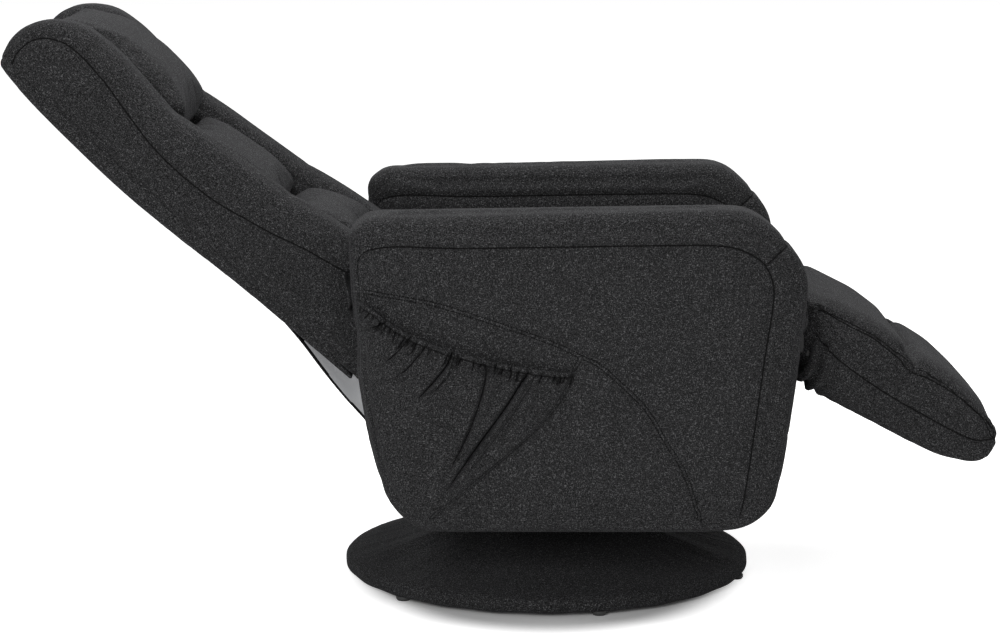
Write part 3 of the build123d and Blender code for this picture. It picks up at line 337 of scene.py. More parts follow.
# The threads of the back and of the footrest lie along them.
BACK_THREADS = -42.5
FOOTREST_THREADS = -30.5
upright_cloth = cloth("cloth_upright")
back_cloth = cloth("cloth_back", BACK_THREADS)
footrest_cloth = cloth("cloth_footrest", FOOTREST_THREADS)
plain_cloth = cloth("cloth_plain", seamed=False)
rear_cloth = cloth("cloth_rear", BACK_THREADS, seamed=False)


# ---------------------------------------------------------------- arms
# Plywood boards wrapped in foam and cloth: two side panels and a band over the rim.
# A seam near the rim, from foot to foot over the top, joins each panel to the band.
def only(*objects):
    """Selects these objects and nothing else."""
    bpy.ops.object.select_all(action="DESELECT")
    for item in objects:
        item.select_set(True)
    bpy.context.view_layer.objects.active = objects[0]


def shape_by(piece, kind, **settings):
    """Adds a modifier with these settings to the piece and applies it."""
    only(piece)
    added = piece.modifiers.new(kind.title(), kind)
    for key, value in settings.items():
        setattr(added, key, value)
    bpy.ops.object.modifier_apply(modifier=added.name)


def work_over(piece, *steps):
    """Takes these steps on the piece's whole mesh in edit mode."""
    only(piece)
    bpy.ops.object.mode_set(mode="EDIT")
    bpy.ops.mesh.select_all(action="SELECT")
    for step, settings in steps:
        step(**settings)
    bpy.ops.object.mode_set(mode="OBJECT")


GRAIN = 0.0065  # the mesh size of the large pieces' skin
FINE_GRAIN = 0.005


def soft_form(name, solids, grain):
    """One closed skin round copies of soft solids, as an even mesh."""
    copies = []
    for solid in solids:
        only(frame["nodes"][solid])
        bpy.ops.object.duplicate()
        copies.append(bpy.context.object)
    only(*copies)
    if len(copies) > 1:
        bpy.ops.object.join()
    piece = bpy.context.object
    bpy.ops.object.parent_clear(type="CLEAR_KEEP_TRANSFORM")
    piece.name = name
    piece.data.name = name
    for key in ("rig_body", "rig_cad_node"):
        if key in piece:
            del piece[key]
    piece.data.materials.clear()
    work_over(piece, (bpy.ops.mesh.remove_doubles, {"threshold": 0.00005}))
    shape_by(piece, "REMESH", mode="VOXEL", voxel_size=grain)
    return piece


def read_points(mesh, kind):
    """One vector for each point of a mesh: its place (co) or its normal."""
    flat = np.empty(len(mesh.vertices) * 3)
    mesh.vertices.foreach_get(kind, flat)
    return flat.reshape(-1, 3)


def points_of(piece):
    """The piece's points as an array."""
    return read_points(piece.data, "co")


def normals_of(piece):
    """The piece's point normals as an array."""
    return read_points(piece.data, "normal")


def put_points(piece, points):
    """Moves the piece's points."""
    piece.data.vertices.foreach_set("co", np.ascontiguousarray(points, dtype=float).ravel())
    piece.data.update()


def draw_in(piece, amounts):
    """Pulls the skin in along its normals, by an amount for each axis."""
    put_points(piece, points_of(piece) - normals_of(piece) * np.array(amounts))


FILL_FRAMES = 16
FAR_OFF = 0.05  # the distance from a sewn line that stands for "nowhere near it"
PUCKER_LENGTH = 0.017


def fill(piece, swell, push=4.0, hold=0.0):
    """Blows the skin up from inside as its filling does, no point further than swell.

    hold is the share of any inward move that firm foam under the skin stops.
    """
    start = points_of(piece)
    outward = normals_of(piece)
    scene = bpy.context.scene
    stuffing = piece.modifiers.new("Filling", "CLOTH")
    stuffing.settings.quality = 4
    stuffing.settings.use_pressure = True
    stuffing.settings.uniform_pressure_force = push
    stuffing.settings.effector_weights.gravity = 0.0
    stuffing.point_cache.frame_start = 1
    stuffing.point_cache.frame_end = FILL_FRAMES
    for step in range(1, FILL_FRAMES + 1):
        scene.frame_set(step)
    shaped = piece.evaluated_get(bpy.context.evaluated_depsgraph_get())
    move = read_points(shaped.data, "co") - start
    piece.modifiers.remove(stuffing)
    scene.frame_set(1)
    far = np.linalg.norm(move, axis=1, keepdims=True) + 1e-9
    move = move / far * swell * np.tanh(far / swell)
    sunk = np.minimum(np.sum(move * outward, axis=1), 0.0)
    put_points(piece, start + move - hold * sunk[:, None] * outward)


def refine(piece):
    """Rounds the mesh with one subdivision."""
    shape_by(piece, "SUBSURF", levels=1, render_levels=1)
    bpy.ops.object.shade_smooth()


def smooth_line(points, parts=6):
    """A smooth line through points, as an array with that many parts between each two."""
    pts = np.array(points, float)
    ends = np.vstack([2 * pts[0] - pts[1], pts, 2 * pts[-1] - pts[-2]])
    line = []
    for i in range(len(pts) - 1):
        a, b, c, d = ends[i : i + 4]
        for t in np.arange(parts) / parts:
            bend, twist = 2 * a - 5 * b + 4 * c - d, 3 * b - a - 3 * c + d
            line.append(0.5 * (2 * b + (c - a) * t + bend * t**2 + twist * t**3))
    line.append(pts[-1])
    return np.array(line)


def sew(piece, lines, kind="seam", depth=0.0025, width=0.006, reach=0.02, pucker=0.0006):
    """Sews lines into the skin: a shallow puckered groove, and its distances for the cloth."""
    pts = points_of(piece)
    normals = normals_of(piece)
    away = np.full(len(pts), FAR_OFF)
    run = np.zeros(len(pts))
    for line in lines:
        done = 0.0
        for start, end in zip(line[:-1], line[1:]):
            step = end - start
            length = np.linalg.norm(step)
            along = step / length
            gap = pts - start
            t = np.clip(gap @ along, 0.0, length)
            gap = gap - t[:, None] * along
            lift = np.sum(gap * normals, axis=1)
            flat_gap = gap - lift[:, None] * normals
            dist = np.linalg.norm(flat_gap, axis=1)
            side = np.sign(np.sum(np.cross(along, flat_gap) * normals, axis=1))
            near = (dist < np.abs(away)) & (np.abs(lift) < reach)
            away = np.where(near, np.where(side < 0, -dist, dist), away)
            run = np.where(near, done + t, run)
            done += length
    groove = depth * np.exp(-((away / width) ** 2))
    waves = np.sin(run * 2 * pi / PUCKER_LENGTH + 1.3 * np.sin(run * 61))
    ripple = pucker * waves * np.exp(-np.abs(away) / (2.2 * width))
    put_points(piece, pts - normals * (groove + ripple)[:, None])
    for name, values in ((kind, away), ("run", run)):
        layer = piece.data.attributes.get(name) or piece.data.attributes.new(name, "FLOAT", "POINT")
        layer.data.foreach_set("value", values.astype(np.float32))


def dress(piece, material, body, *replaced):
    """Gives the piece its cloth and its body, and hides the solids that it stands for."""
    piece.data.materials.clear()
    piece.data.materials.append(material)
    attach(piece, body)
    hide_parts(*replaced)


ARM_FACE_Y = 0.365
ARM_INNER_Y = 0.250
ARM_SEAM = [
    (-0.181, 0.150), (-0.200, 0.250), (-0.214, 0.400), (-0.226, 0.520), (-0.214, 0.563),
    (-0.168, 0.577), (-0.069, 0.575), (0.085, 0.577), (0.210, 0.579), (0.318, 0.579),
    (0.362, 0.569), (0.390, 0.549), (0.403, 0.515), (0.400, 0.470), (0.391, 0.409),
    (0.374, 0.272), (0.358, 0.158),
]
# Where the foam gives in the side view: x, z, and the move in x and z.
ARM_GIVES = [
    (0.425, 0.590, -0.008, -0.007),
    (0.385, 0.160, -0.005, 0.008),
    (-0.155, 0.172, 0.007, 0.005),
    (-0.195, 0.300, -0.006, 0.0),
    (-0.205, 0.365, -0.009, 0.0),
    (-0.218, 0.470, -0.003, 0.0),
]
GIVE_REACH = 0.05


def eased(value, low, high):
    """Rises softly from 0 at low to 1 at high."""
    t = np.clip((value - low) / (high - low), 0, 1)
    return t * t * (3 - 2 * t)


arm_right = soft_form("arm_right_cover", ["arm_right"], GRAIN)
draw_in(arm_right, (0.001, 0.006, 0.001))
fill(arm_right, 0.008, push=3.0, hold=0.9)
refine(arm_right)
pts = points_of(arm_right)
pull = np.zeros((len(pts), 2))
weight = np.zeros(len(pts))
for x, z, move_x, move_z in ARM_GIVES:
    near = np.exp(-((pts[:, 0] - x) ** 2 + (pts[:, 2] - z) ** 2) / GIVE_REACH**2)
    pull += near[:, None] * np.array([move_x, move_z])
    weight += near
pull /= np.maximum(weight, 1.0)[:, None]
pts[:, 0] += pull[:, 0]
pts[:, 2] += pull[:, 1]
# The top sags most at its rear outer edge.
ARM_THICK = 0.115
ARM_REAR_X, ARM_RUN = -0.17, 0.44
ARM_TOP = (0.585, 0.622)  # the sag grows between these heights
forward = np.clip((pts[:, 0] - ARM_REAR_X) / ARM_RUN, 0, 1)
outward = np.clip((np.abs(pts[:, 1]) - ARM_INNER_Y) / ARM_THICK, 0, 1)
sag_inner = 0.0055 - 0.003 * forward
sag_outer = 0.012 - 0.0105 * forward
pts[:, 2] -= (sag_inner + (sag_outer - sag_inner) * outward) * eased(pts[:, 2], *ARM_TOP)
put_points(arm_right, pts)
arm_lines = [
    smooth_line([(x, -ARM_FACE_Y, z) for x, z in ARM_SEAM]),
    smooth_line([(x, -ARM_INNER_Y, z) for x, z in ARM_SEAM]),
    smooth_line(
        [
            (0.395, -ARM_FACE_Y + 0.002, 0.553),
            (0.425, -0.345, 0.578),
            (0.432, -0.31, 0.588),
            (0.425, -0.27, 0.578),
            (0.395, -ARM_INNER_Y, 0.553),
        ],
        10,
    ),
]
sew(arm_right, arm_lines)


def mirrored(piece, name):
    """A copy of the piece for the other side of the chair, with its own mesh."""
    only(piece)
    bpy.ops.object.duplicate()
    other = bpy.context.object
    other.name = name
    other.data.name = name
    put_points(other, points_of(other) * np.array([1, -1, 1]))
    work_over(other, (bpy.ops.mesh.flip_normals, {}))
    return other


arm_left = mirrored(arm_right, "arm_left_cover")

# The right arm's outer panel is pieced: a curved topstitched join runs from above the pocket
# to the foot, with a short bar of stitches at each end of the pocket's mouth.
MOUTH_STITCH = [
    (-0.219, 0.510), (-0.179, 0.505), (-0.135, 0.498), (-0.093, 0.489), (-0.049, 0.475),
    (-0.004, 0.460), (0.041, 0.445), (0.085, 0.428), (0.117, 0.412),
]
PANEL_STITCH = [
    (0.117, 0.412), (0.145, 0.398), (0.175, 0.372), (0.213, 0.334), (0.243, 0.285),
    (0.274, 0.232), (0.297, 0.162),
]
MOUTH_BARS = [[(-0.212, 0.510), (-0.204, 0.495)], [(0.117, 0.412), (0.107, 0.393)]]
stitch_lines = [
    smooth_line([(x, -ARM_FACE_Y, z) for x, z in line])
    for line in (MOUTH_STITCH, PANEL_STITCH, *MOUTH_BARS)
]
sew(
    arm_right,
    stitch_lines,
    kind="stitch",
    depth=0.0010,
    width=0.005,
    pucker=0.0002,
)
dress(arm_right, upright_cloth, "chassis", "arm_right")
dress(arm_left, upright_cloth, "chassis", "arm_left")

# ---------------------------------------------------------------- seat cushion
# Foam block in a boxed cover, crowned, with a seam along the sides and the front of its top.
# It lies on the felt deck over the springs, between the arms.
seat = soft_form("seat_cushion_cover", ["seat_cushion"], GRAIN)
draw_in(seat, (0.006, 0.005, 0.007))
fill(seat, 0.014, hold=0.6)
refine(seat)
seat_low, seat_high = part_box("seat_cushion")
SEAM_IN, CORNER_IN = 0.012, 0.025  # the seam's place inside the cushion's box
rim_z = seat_high.z - 0.020
corners = [
    (seat_low.x + 0.01, seat_high.y - SEAM_IN, rim_z),
    (seat_high.x - CORNER_IN, seat_high.y - SEAM_IN, rim_z),
    (seat_high.x - SEAM_IN, seat_high.y - CORNER_IN, rim_z),
    (seat_high.x - SEAM_IN, seat_low.y + CORNER_IN, rim_z),
    (seat_high.x - CORNER_IN, seat_low.y + SEAM_IN, rim_z),
    (seat_low.x + 0.01, seat_low.y + SEAM_IN, rim_z),
]
sew(seat, [np.array(corners)], reach=0.03)
dress(seat, upright_cloth, "chassis", "seat_cushion")

# ---------------------------------------------------------------- back
# Foam side wings over the frame's stiles, a head pillow and two pads between them, and a thin
# padded panel behind. It lies tilted: places on it are given up it and out of its front.
PIVOT = (-0.189, 0.335)
BACK_TILT = radians(180 + BACK_THREADS)


def on_back(up, out, y):
    """A place on the back: metres up it from the pivot, out of its front, and along Y."""
    return (
        PIVOT[0] + up * cos(BACK_TILT) + out * sin(BACK_TILT),
        y,
        PIVOT[1] + up * sin(BACK_TILT) - out * cos(BACK_TILT),
    )


def back_places(pts):
    """How far up the back and how far out of its front each point lies."""
    x, z = pts[:, 0] - PIVOT[0], pts[:, 2] - PIVOT[1]
    return x * cos(BACK_TILT) + z * sin(BACK_TILT), x * sin(BACK_TILT) - z * cos(BACK_TILT)


NOSE_END, NOSE_FULL = 0.145, 0.108  # up the back: where a lower nose ends, and where it is full


def clear_of_seat(piece, depth):
    """Draws the nose of a piece's lower end in, to leave room for the cushion when upright."""
    pts = points_of(piece)
    up_back, out_front = back_places(pts)
    nose = depth * eased(-up_back, -NOSE_END, -NOSE_FULL) * eased(out_front, 0.03, 0.10)
    pts[:, 0] -= nose * sin(BACK_TILT)
    pts[:, 2] += nose * cos(BACK_TILT)
    put_points(piece, pts)


# Side wings, foam over the stiles. A side panel and a band are sewn together along the front.
WING_SEAM = [
    (-0.742, 0.838), (-0.735, 0.856), (-0.708, 0.876), (-0.677, 0.876), (-0.647, 0.861),
    (-0.605, 0.816), (-0.568, 0.764), (-0.530, 0.713), (-0.485, 0.668), (-0.435, 0.629),
    (-0.387, 0.601), (-0.350, 0.580), (-0.300, 0.556), (-0.244, 0.523), (-0.19, 0.49),
]
wing_right = soft_form("wing_right_cover", ["wing_right"], FINE_GRAIN)
draw_in(wing_right, (0.002, 0.004, 0.002))
fill(wing_right, 0.007, push=3.0, hold=0.9)
refine(wing_right)
WING_SEAM_Y = -0.245
wing_line = smooth_line([(x, WING_SEAM_Y, z) for x, z in WING_SEAM])
sew(wing_right, [wing_line], reach=0.03)
# The rear edge is tucked over the rear panel, and the lower end is drawn down behind the arm.
pts = points_of(wing_right)
up_back, out_front = back_places(pts)
rear = out_front.min()
tuck = 0.007 * eased(-out_front, -(rear + 0.014), -(rear + 0.002))
drop = 0.034 * eased(-up_back, -0.19, -0.150) * eased(-out_front, -0.098, -0.072)
pts[:, 0] -= tuck * sin(BACK_TILT) + drop * cos(BACK_TILT)
pts[:, 2] += tuck * cos(BACK_TILT) - drop * sin(BACK_TILT)
put_points(wing_right, pts)
clear_of_seat(wing_right, 0.004)
wing_left = mirrored(wing_right, "wing_left_cover")
dress(wing_right, back_cloth, "back", "wing_right")
dress(wing_left, back_cloth, "back", "wing_left")

# Head pillow and the two pads below it, loose crowned pads sewn along their ends.
PAD_SEAM_YS = (-0.15, -0.05, 0.05, 0.15)
for name, solids, swell, ends in (
    ("head_pillow_cover", ["head_pillow"], 0.014, (0.497, 0.756)),
    ("back_pad_middle_cover", ["back_pad_middle"], 0.012, (0.293, 0.491)),
    ("back_pad_lower_cover", ["back_pad_lower", "back_base_pad"], 0.012, (0.16, 0.286)),
):
    pad = soft_form(name, solids, FINE_GRAIN)
    draw_in(pad, (0.005, 0.004, 0.005))
    fill(pad, swell)
    refine(pad)
    end_lines = [smooth_line([on_back(end, 0.07, y) for y in PAD_SEAM_YS]) for end in ends]
    sew(pad, end_lines, reach=0.05)
    clear_of_seat(pad, 0.011)
    dress(pad, back_cloth, "back", *solids)

# Rear panel of the back, thin padding drawn over the frame and its top rail.
shell = soft_form("back_shell_cover", ["back_shell", "back_frame"], GRAIN)
draw_in(shell, (-0.003, 0.0, -0.003))
refine(shell)
dress(shell, rear_cloth, "back", "back_shell")

# ---------------------------------------------------------------- footrest
# One padded cover over the footrest board: two pads on top with a channel between them,
# a valley along each side of the pads, and crumpled cloth where it folds at the hinge.
FOOT_PIVOT = (0.408, 0.442)
FOOT_TILT = radians(FOOTREST_THREADS)


def on_footrest(out, up, y):
    """A place on the footrest: metres out along it from its pivot, up from it, and along Y."""
    return (
        FOOT_PIVOT[0] + out * cos(FOOT_TILT) - up * sin(FOOT_TILT),
        y,
        FOOT_PIVOT[1] + out * sin(FOOT_TILT) + up * cos(FOOT_TILT),
    )


FOOT_SOLIDS = ["footrest_shell", "footrest_pad_upper", "footrest_pad_lower"]
footrest = soft_form("footrest_cover", [*FOOT_SOLIDS, "footrest_board"], 0.006)
draw_in(footrest, (0.003, 0.003, 0.003))
fill(footrest, 0.007, hold=0.8)
refine(footrest)
FOOT_SIDE_SEAM = [
    (0.075, 0.018), (0.106, 0.009), (0.137, 0.003), (0.199, -0.002), (0.274, -0.002),
    (0.362, 0.003), (0.397, 0.022),
]
SIDE_Y = 0.24
side_lines = [
    smooth_line([on_footrest(p, q, y) for p, q in FOOT_SIDE_SEAM]) for y in (-SIDE_Y, SIDE_Y)
]
TIP = 0.4
tip_line = smooth_line([on_footrest(TIP, 0.024, y) for y in (-0.235, -0.1, 0.1, 0.235)])
FOOT_TOP = [
    (0.030, 0.068), (0.050, 0.072), (0.096, 0.075), (0.152, 0.077), (0.194, 0.075),
    (0.228, 0.072), (0.265, 0.067), (0.303, 0.062), (0.343, 0.056), (0.376, 0.048),
    (0.395, 0.030),
]
EDGE_Y = 0.219
edge_lines = [smooth_line([on_footrest(p, q, y) for p, q in FOOT_TOP]) for y in (-EDGE_Y, EDGE_Y)]
CHANNEL = 0.229
channel = smooth_line([on_footrest(CHANNEL, 0.078, y) for y in (-EDGE_Y, -0.1, 0.1, EDGE_Y)])
pts = points_of(footrest)
normals = normals_of(footrest)
x, z = pts[:, 0] - FOOT_PIVOT[0], pts[:, 2] - FOOT_PIVOT[1]
foot_along = x * cos(FOOT_TILT) + z * sin(FOOT_TILT)
foot_above = -x * sin(FOOT_TILT) + z * cos(FOOT_TILT)
from_edge = np.abs(pts[:, 1]) - EDGE_Y
on_pads = (foot_above > 0.03) & (from_edge < 0)
tuft = 0.010 * np.exp(-(((foot_along - CHANNEL) / 0.016) ** 2)) * on_pads
slope = np.where(from_edge < 0, 0.036, 0.009)
valley = 0.015 * np.exp(-((from_edge / slope) ** 2)) * eased(foot_above, 0.020, 0.040)
near_hinge = np.exp(-(((foot_along - 0.085) / 0.035) ** 2))
near_hinge = near_hinge * np.clip((0.045 - foot_above) / 0.05, 0, 1)
folds = 0.0085 * near_hinge * np.sin(foot_along * 2 * pi / 0.023 + 1.5 * np.sin(foot_above * 60))
pts = pts - normals * (tuft + valley + folds)[:, None]
# The soft cover hangs a little low on its board, and is pulled out at the tip.
foot_down = np.array([sin(FOOT_TILT), 0.0, -cos(FOOT_TILT)])
foot_out = np.array([cos(FOOT_TILT), 0.0, sin(FOOT_TILT)])
pts = pts + 0.006 * foot_down
put_points(footrest, pts + 0.007 * eased(foot_along, 0.27, 0.40)[:, None] * foot_out)
foot_up = Vector(-foot_down)
foot_skin = BVHTree.FromObject(footrest, bpy.context.evaluated_depsgraph_get())
top_lines = []
for line in edge_lines + [channel]:
    laid = [foot_skin.ray_cast(Vector(place) + foot_up * 0.05, -foot_up)[0] for place in line]
    top_lines.append(np.array([tuple(place) for place in laid if place]))
sew(footrest, side_lines + [tip_line] + top_lines, reach=0.02, depth=0.003)
dress(footrest, footrest_cloth, "footrest", *FOOT_SOLIDS)

# ---------------------------------------------------------------- side pocket
# One gathered panel of the arm's cloth, sewn to the right arm along its curved front edge
# and foot, with elastic in a narrow casing along its sloping mouth.
def spread(points, count):
    """That many points evenly spaced along a smooth line through points."""
    line = smooth_line(points, 12)
    steps = np.linalg.norm(np.diff(line, axis=0), axis=1)
    far = np.concatenate([[0.0], np.cumsum(steps)])
    marks = np.linspace(0.0, far[-1], count)
    return np.stack([np.interp(marks, far, line[:, i]) for i in range(line.shape[1])], axis=1)


def cloth_grid(name, across, down):
    """A flat primitive grid of cloth, whose points are then laid where the cloth goes."""
    bpy.ops.object.select_all(action="DESELECT")
    bpy.ops.mesh.primitive_grid_add(x_subdivisions=across, y_subdivisions=down, size=2)
    piece = bpy.context.object
    piece.name = name
    piece.data.name = name
    place = points_of(piece)
    return piece, (place[:, 0] + 1) / 2, (place[:, 1] + 1) / 2


POCKET_MOUTH = [
    (-0.216, 0.496), (-0.197, 0.486), (-0.167, 0.465), (-0.135, 0.446), (-0.093, 0.429),
    (-0.049, 0.416), (-0.004, 0.405), (0.041, 0.397), (0.085, 0.391), (0.108, 0.390),
]
POCKET_FRONT = [
    (0.108, 0.390), (0.104, 0.372), (0.088, 0.343), (0.058, 0.306), (0.012, 0.263),
    (-0.041, 0.217), (-0.090, 0.177), (-0.106, 0.160),
]
POCKET_REAR = [
    (-0.216, 0.496), (-0.211, 0.440), (-0.206, 0.390), (-0.195, 0.320), (-0.183, 0.262),
    (-0.167, 0.215), (-0.146, 0.182), (-0.126, 0.163),
]
POCKET_FOLDS = [
    ([(-0.172, 0.468), (-0.190, 0.458), (-0.208, 0.452)], 0.0060, 0.0032),
    ([(-0.135, 0.446), (-0.168, 0.411), (-0.200, 0.394)], 0.0045, 0.0040),
    ([(-0.106, 0.439), (-0.146, 0.393), (-0.188, 0.370)], 0.0040, 0.0040),
    ([(-0.073, 0.426), (-0.087, 0.395), (-0.133, 0.343)], 0.0095, 0.0040),
    ([(-0.027, 0.412), (-0.026, 0.375), (-0.050, 0.300), (-0.089, 0.222)], 0.0075, 0.0060),
    ([(-0.008, 0.409), (-0.014, 0.385)], 0.0040, 0.0034),
    ([(0.042, 0.397), (0.005, 0.338), (-0.038, 0.277), (-0.098, 0.188)], 0.0125, 0.0046),
    ([(0.014, 0.404), (0.010, 0.382)], 0.0040, 0.0034),
    ([(0.068, 0.390), (0.030, 0.330), (-0.020, 0.262)], 0.0026, 0.0080),
]
# Small pleats under the elastic: each a line in the side view, its depth and its width.
PLEATS = 36
CASING = 0.008
chance = np.random.default_rng(7)
stations = np.linspace(0, 1, len(POCKET_MOUTH))
mouth_x, mouth_z = np.array(POCKET_MOUTH).T
for share in np.linspace(0.03, 0.985, PLEATS) + chance.uniform(-0.008, 0.008, PLEATS):
    x = np.interp(share, stations, mouth_x)
    z = np.interp(share, stations, mouth_z) - 0.007
    long = chance.uniform(0.008, 0.024)
    lean = chance.uniform(0.15, 0.75) + 0.5 * (0.5 - share)
    pleat = [(x, z), (x - 0.5 * lean * long, z - 0.6 * long), (x - lean * long, z - long)]
    POCKET_FOLDS.append((pleat, chance.uniform(0.0026, 0.0060), chance.uniform(0.0021, 0.0029)))
SHADED_FOLD_DEPTH = 0.0037  # folds deeper than this also get painted shade, a dark line along the crease
MOUTH_BULGE = 0.0125
EDGE_STEPS = 400
pocket, u, v = cloth_grid("side_pocket_panel", 190, 180)
v = 1 - v
mouth = spread(POCKET_MOUTH, EDGE_STEPS)
front_edge = spread(POCKET_FRONT, EDGE_STEPS)
rear_edge = spread(POCKET_REAR, EDGE_STEPS)
marks = np.linspace(0, 1, EDGE_STEPS)


def at(line, t):
    """Places along an evenly spread line."""
    return np.stack([np.interp(t, marks, line[:, i]) for i in range(2)], axis=1)


top = at(mouth, u)
foot_edge = rear_edge[-1] + (front_edge[-1] - rear_edge[-1]) * u[:, None]
left, right = at(rear_edge, v), at(front_edge, v)
corner = (1 - u[:, None]) * (1 - v[:, None]) * mouth[0]
corner = corner + u[:, None] * (1 - v[:, None]) * mouth[-1]
corner = corner + (1 - u[:, None]) * v[:, None] * rear_edge[-1]
corner = corner + u[:, None] * v[:, None] * front_edge[-1]
flat = (1 - v[:, None]) * top + v[:, None] * foot_edge
flat = flat + (1 - u[:, None]) * left + u[:, None] * right - corner
MOUTH_SLOPE = 0.93  # turns a height below the mouth into a distance from it
mouth_gap = np.abs(flat[:, 1] - np.interp(flat[:, 0], mouth[:, 0], mouth[:, 1])) * MOUTH_SLOPE
arm_skin = BVHTree.FromObject(arm_right, bpy.context.evaluated_depsgraph_get())


def face_y(x, z):
    """How far out the right arm's skin lies at a place in the side view."""
    struck = arm_skin.ray_cast(Vector((x, -0.5, z)), Vector((0, 1, 0)))[0]
    return struck.y if struck else arm_skin.find_nearest(Vector((x, -0.35, z)))[0].y


INNERMOST_Y = -0.335
skin_y = np.minimum(np.array([face_y(x, z) for x, z in flat]), INNERMOST_Y)
side_ease = np.clip(u * (1 - u) * 9, 0, 1) ** 0.7
foot_ease = np.clip((1 - v) * 4, 0, 1)
below_mouth = 0.75 + 0.5 * np.exp(-((mouth_gap - 0.07) / 0.06) ** 2)
bulge = MOUTH_BULGE * side_ease * foot_ease * below_mouth
gather = 0.0013 * (np.sin(u * 186 + 1.7 * np.sin(u * 31)) + 0.7 * np.sin(u * 127 + 2.0))
gather = gather * np.exp(-mouth_gap / 0.020)
gather = gather * np.clip(u * 14, 0, 1) * np.clip((1 - u) * 14, 0, 1)
casing = 0.0022 * np.exp(-(((mouth_gap - CASING / 2) / (CASING / 2.2)) ** 4))
casing = casing - 0.0012 * np.exp(-(((mouth_gap - CASING) / 0.0018) ** 2))
relief = bulge + gather * (0.35 + 0.65 * (mouth_gap > CASING)) + casing
# Each fold is a groove with a crest on both sides, deepest near the start of its line.
FOLD_PARTS = 39
for line, deep, wide in POCKET_FOLDS:
    path_pts = spread(line, FOLD_PARTS + 1)
    best = np.full(len(u), 1.0)
    side = np.zeros(len(u))
    share = np.zeros(len(u))
    for i, (a, b) in enumerate(zip(path_pts[:-1], path_pts[1:])):
        ab = b - a
        t = np.clip(((flat - a) @ ab) / (ab @ ab), 0, 1)
        gap = flat - a - t[:, None] * ab
        dist = np.linalg.norm(gap, axis=1)
        near = dist < best
        best = np.where(near, dist, best)
        side = np.where(near, np.sign(ab[0] * gap[:, 1] - ab[1] * gap[:, 0]), side)
        share = np.where(near, (i + t) / FOLD_PARTS, share)
    strength = deep * np.clip(share * 8 + 0.35, 0, 1) * np.clip((1 - share) * 2.5, 0, 1)
    signed = best * side
    relief = relief - strength * np.exp(-((signed / (0.55 * wide)) ** 2))
    relief = relief + 0.75 * strength * np.exp(-(((signed - 1.5 * wide) / (1.3 * wide)) ** 2))
    relief = relief + 0.45 * strength * np.exp(-(((signed + 1.7 * wide) / (1.6 * wide)) ** 2))
edge_ease = np.clip(np.minimum(u, 1 - u) * 30, 0, 1) * np.clip((1 - v) * 30, 0, 1)
lift = 0.0012 + np.maximum(relief, 0.0005) * edge_ease
put_points(pocket, np.stack([flat[:, 0], skin_y - lift, flat[:, 1]], axis=1))
EVEN_NORMALS = (bpy.ops.mesh.normals_make_consistent, {"inside": False})
work_over(pocket, EVEN_NORMALS)
if pocket.data.polygons[9000].normal.y > 0:  # a face in the middle of the panel
    pocket.data.flip_normals()
pocket_skin = BVHTree.FromObject(pocket, bpy.context.evaluated_depsgraph_get())


def on_pocket(line):
    """A side-view line laid on the pocket's outer face."""
    laid = []
    for x, z in line:
        struck = pocket_skin.ray_cast(Vector((x, -0.5, z)), Vector((0, 1, 0)))[0]
        if struck:
            laid.append(tuple(struck))
    return np.array(laid)


sew(
    pocket,
    [on_pocket(front_edge[::8] + np.array([-0.0045, 0.001]))],
    kind="stitch",
    depth=0.0006,
    width=0.003,
    pucker=0.0,
)
# The casing's foot is a sewn joint, drawn as a dark line. The deeper folds also get a dark line
# along their crease, which is painted shade.
joint_and_crease_shade_lines = [on_pocket(at(mouth, np.linspace(0.01, 0.99, 60)) + np.array([0.001, -CASING]))]
for line, deep, wide in POCKET_FOLDS:
    if deep > SHADED_FOLD_DEPTH:
        joint_and_crease_shade_lines.append(on_pocket(spread(line, 20)[: 17 if deep > 0.007 else 12]))
sew(pocket, [line for line in joint_and_crease_shade_lines if len(line) > 1], depth=0.0, width=0.003, pucker=0.0)
CLOTH_THICK = 0.0012
shape_by(pocket, "SOLIDIFY", thickness=CLOTH_THICK, offset=0.0)
bpy.ops.object.shade_smooth()
dress(pocket, upright_cloth, "chassis", "side_pocket")

# ---------------------------------------------------------------- base cover
# One round of the cloth, drawn tight from the hub plate over four bars to the ring,
# rolled under the rim. The bars lift it into four ridges.
CENTRE_X = 0.071
HUB_HALF_L = 0.1035
HUB_HALF_W = 0.0635
HUB_TOP = 0.1046
HOLE_R = 0.058  # the cloth's hole, round the bearing
RIM_CENTRE = (0.315, 0.018)  # the middle of the rim's tube: its distance out, and its height
RIM_R = 0.0118
RIDGE = 18.0  # degrees from the long axis to a bar
ROLL_START, ROLL_TURN = 70, 205  # degrees round the rim's tube
LOWEST_Z = 0.0036
HOLE, EDGE = 0.10, 0.62  # where the hub plate ends and the rim begins, as shares of the cloth
cover, u, v = cloth_grid("base_cover_cloth", 288, 72)
turn = u * 360.0
corner_turns = np.array([-RIDGE, RIDGE, 180 - RIDGE, 180 + RIDGE, 360 - RIDGE, 360 + RIDGE])
corner_x = np.array([HUB_HALF_L, HUB_HALF_L, -HUB_HALF_L, -HUB_HALF_L, HUB_HALF_L, HUB_HALF_L])
corner_y = np.array([-HUB_HALF_W, HUB_HALF_W, HUB_HALF_W, -HUB_HALF_W, -HUB_HALF_W, HUB_HALF_W])
hub_x = np.interp(turn, corner_turns, corner_x)
hub_y = np.interp(turn, corner_turns, corner_y)
angle = np.radians(turn)
out_x, out_y = np.cos(angle), np.sin(angle)
ridge_gap = np.min(np.abs(turn[:, None] - corner_turns[None, :]), axis=1)
hole_x, hole_y = HOLE_R * out_x, HOLE_R * out_y
t_plate = np.clip(v / HOLE, 0, 1)
t_tent = np.clip((v - HOLE) / (EDGE - HOLE), 0, 1)
t_rim = np.clip((v - EDGE) / (1 - EDGE), 0, 1)
roll = np.radians(ROLL_START - t_rim * ROLL_TURN)
